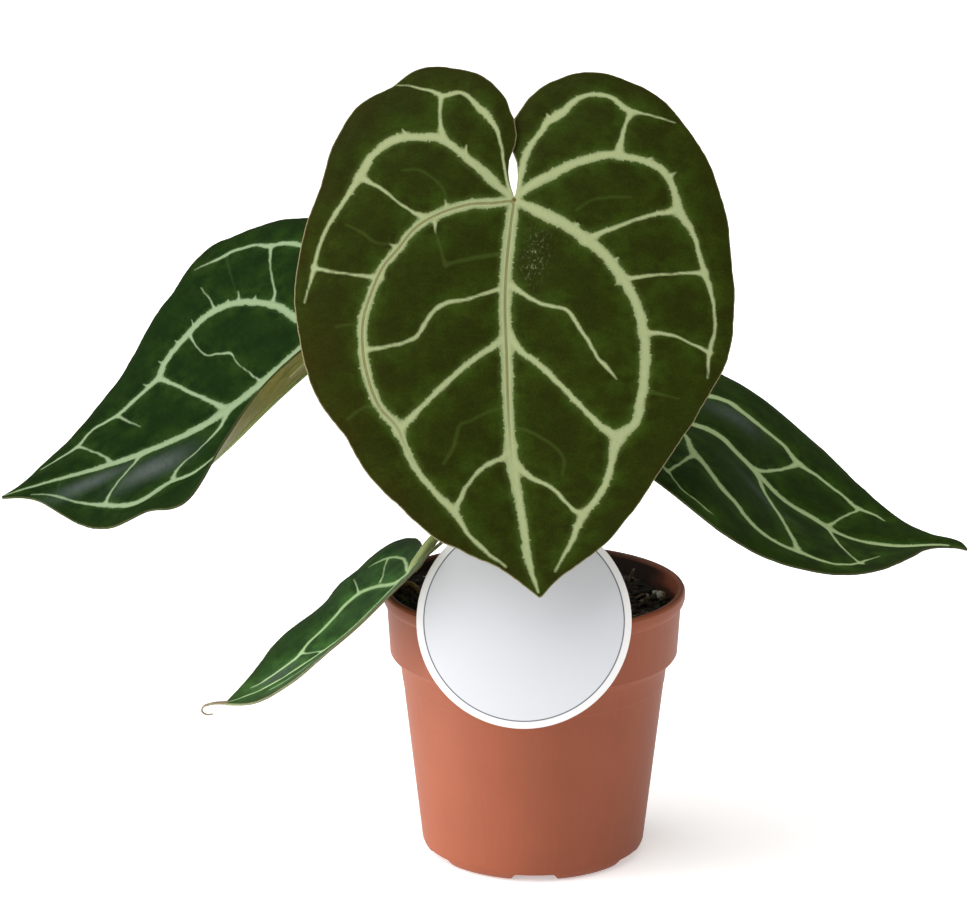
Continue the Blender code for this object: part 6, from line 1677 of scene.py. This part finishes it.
class ANTHURIUM_OT_pot(bpy.types.Operator):
    """Spins the nursery pot, rounds its edges and cuts the foot's channels and drain holes"""
    bl_idname = "anthurium.pot"
    bl_label = "Pot"

    def execute(self, context):
        settings = context.scene.anthurium_pot
        bm = lathe(pot_profile(), settings.steps)
        round_hoops(bm, settings.rounding / MM)
        piece = finish_piece("nursery_pot", mesh_in_metres("nursery_pot", bm),
                             [pot_material(settings)], "pot")
        for cutter in foot_cutters():
            cut_from(piece, cutter)
        piece.data.set_sharp_from_angle(angle=math.radians(POT_CREASE))
        return {"FINISHED"}


class ANTHURIUM_OT_mix(bpy.types.Operator):
    """Fills the pot with potting mix and lays its crumbs, perlite, moss and root fibres"""
    bl_idname = "anthurium.mix"
    bl_label = "Potting mix"

    def execute(self, context):
        settings = context.scene.anthurium_mix
        bed = mesh_in_metres("mix_bed", build_bed(settings))
        finish_piece("mix_bed", bed, [bed_material(settings)], "potting_mix")
        bits = mesh_in_metres("mix_bits", scatter_bits(settings), 40)
        finish_piece("mix_bits", bits, [bits_material()], None)
        fibres = tube_mesh("mix_fibres", fibre_routes(settings), 1)
        finish_piece("mix_fibres", fibres, [fibre_material(settings)], None)
        return {"FINISHED"}


class ANTHURIUM_OT_crown(bpy.types.Operator):
    """Spins the short scarred stem and wraps dry sheaths round the feet of the stalks"""
    bl_idname = "anthurium.crown"
    bl_label = "Crown"

    def execute(self, context):
        stem = mesh_in_metres("crown_stem", build_crown())
        finish_piece("crown_stem", stem, [bark_material()], "crown")
        settings = context.scene.anthurium_leaf
        sheaths = mesh_in_metres("crown_sheaths", build_sheaths())
        piece = finish_piece("crown_sheaths", sheaths, [sheath_material(settings)], None)
        solidify = piece.modifiers.new("thickness", "SOLIDIFY")
        solidify.thickness = SHEATH_THICKNESS
        solidify.offset = 1.0
        return {"FINISHED"}


class ANTHURIUM_OT_leaves(bpy.types.Operator):
    """Cuts the four blades from fine grids, bends them and grows their stalks and under-ribs"""
    bl_idname = "anthurium.leaves"
    bl_label = "Leaves"

    def execute(self, context):
        settings = context.scene.anthurium_leaf
        skin = petiole_material(settings)
        for leaf, look in LEAVES:
            name = leaf["name"]
            blade = Blade(leaf)
            tree = build_sheet(leaf, look, settings)
            routes = [petiole_route(leaf, blade, settings.thickness / MM)]
            routes += under_ribs(leaf, blade, tree, settings)
            finish_piece(name + "_stalk", tube_mesh(name + "_stalk", routes), [skin],
                         name + "_petiole_and_ribs")
            if leaf["thread"]:
                start = blade.place(np.zeros(1), np.array([blade.length - 2.0]))
                points = dense(np.vstack([start, leaf["thread"]]), 0.8, 3)
                radii = np.interp(np.arange(len(points)), [0, len(points) * 0.4, len(points) - 1],
                                  THREAD_RADII)
                finish_piece("dry_tip", tube_mesh("dry_tip", [(points, radii)]),
                             [thread_material()], None)
        return {"FINISHED"}


class ANTHURIUM_OT_tag(bpy.types.Operator):
    """Cuts the round plant tag with its ring line and bends its stake"""
    bl_idname = "anthurium.tag"
    bl_label = "Plant tag"

    def execute(self, context):
        paint = tag_material(context.scene.anthurium_tag)
        finish_piece("tag_board", mesh_in_metres("tag_board", build_disc(), 35), [paint],
                     "tag_disc")
        finish_piece("tag_strip", mesh_in_metres("tag_strip", build_stake(), 35), [paint],
                     "tag_stake")
        return {"FINISHED"}


class ANTHURIUM_OT_stage(bpy.types.Operator):
    """Lays the pale floor and sets the soft studio lights and the camera"""
    bl_idname = "anthurium.stage"
    bl_label = "Stage"

    def execute(self, context):
        scene = context.scene
        settings = scene.anthurium_stage
        bm = bmesh.new()
        bmesh.ops.create_grid(bm, x_segments=2, y_segments=2, size=FLOOR_HALF)
        mesh = mesh_in_metres("studio_floor", bm)
        mesh.materials.append(floor_material(settings))
        floor = new_object("studio_floor", mesh)
        sun = bpy.data.lights.new("key", "SUN")
        sun.energy = settings.key
        sun.angle = settings.spread
        add_light(sun, KEY_PLACE, (0.0, 0.0, 0.0))
        area = bpy.data.lights.new("fill", "AREA")
        area.size = FILL_SIZE
        area.energy = settings.fill
        add_light(area, FILL_PLACE, (0.0, 0.0, 0.15))
        low = bpy.data.lights.new("side", "AREA")
        low.size = SIDE_SIZE
        low.energy = settings.side
        add_light(low, SIDE_PLACE, (0.0, 0.0, 0.03))
        world = bpy.data.worlds.new("even_light")
        world.use_nodes = True
        sky = world.node_tree.nodes["Background"]
        sky.inputs["Color"].default_value = WHITE
        sky.inputs["Strength"].default_value = settings.sky
        scene.world = world
        scene.view_settings.view_transform = "Standard"
        lens = bpy.data.cameras.new("photo_camera")
        lens.sensor_width = 36.0
        lens.lens = settings.lens
        lens.clip_start = 0.05
        lens.clip_end = 50.0
        camera = new_object("photo_camera", lens)
        camera.location = CAMERA_PLACE
        camera.rotation_euler = (math.radians(90 - CAMERA_DOWN), 0.0, 0.0)
        scene.camera = camera
        return {"FINISHED"}


class ANTHURIUM_PT_panel(bpy.types.Panel):
    """Lists the anthurium's pieces and what can be set for each"""
    bl_idname = "ANTHURIUM_PT_panel"
    bl_label = "Potted anthurium"
    bl_space_type = "VIEW_3D"
    bl_region_type = "UI"
    bl_category = "Anthurium"

    def draw(self, context):
        for name, operator in PANEL_ROWS:
            box = self.layout.box()
            box.operator(operator)
            if name:
                settings = getattr(context.scene, name)
                for key in settings.bl_rna.properties.keys():
                    if key not in ("rna_type", "name"):
                        box.prop(settings, key)


PANEL_ROWS = (
    ("anthurium_stage", "anthurium.stage"),
    ("anthurium_pot", "anthurium.pot"),
    ("anthurium_mix", "anthurium.mix"),
    (None, "anthurium.crown"),
    ("anthurium_leaf", "anthurium.leaves"),
    ("anthurium_tag", "anthurium.tag"),
)
SETTINGS = (
    ("anthurium_leaf", LeafSettings),
    ("anthurium_pot", PotSettings),
    ("anthurium_mix", MixSettings),
    ("anthurium_tag", TagSettings),
    ("anthurium_stage", StageSettings),
)
OPERATORS = (ANTHURIUM_OT_stage, ANTHURIUM_OT_pot, ANTHURIUM_OT_mix, ANTHURIUM_OT_crown,
             ANTHURIUM_OT_leaves, ANTHURIUM_OT_tag)


def register():
    for name, group in SETTINGS:
        bpy.utils.register_class(group)
        setattr(bpy.types.Scene, name, PointerProperty(type=group))
    for operator in OPERATORS:
        bpy.utils.register_class(operator)
    bpy.utils.register_class(ANTHURIUM_PT_panel)


def unregister():
    bpy.utils.unregister_class(ANTHURIUM_PT_panel)
    for operator in reversed(OPERATORS):
        bpy.utils.unregister_class(operator)
    for name, group in reversed(SETTINGS):
        delattr(bpy.types.Scene, name)
        bpy.utils.unregister_class(group)


def write_sizes():
    """Updates the view layer, so that every piece's place is current."""
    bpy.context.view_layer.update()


def main():
    register()
    bpy.ops.anthurium.stage()
    bpy.ops.anthurium.pot()
    bpy.ops.anthurium.mix()
    bpy.ops.anthurium.crown()
    bpy.ops.anthurium.leaves()
    bpy.ops.anthurium.tag()
    write_sizes()


if __name__ == "__main__":
    main()
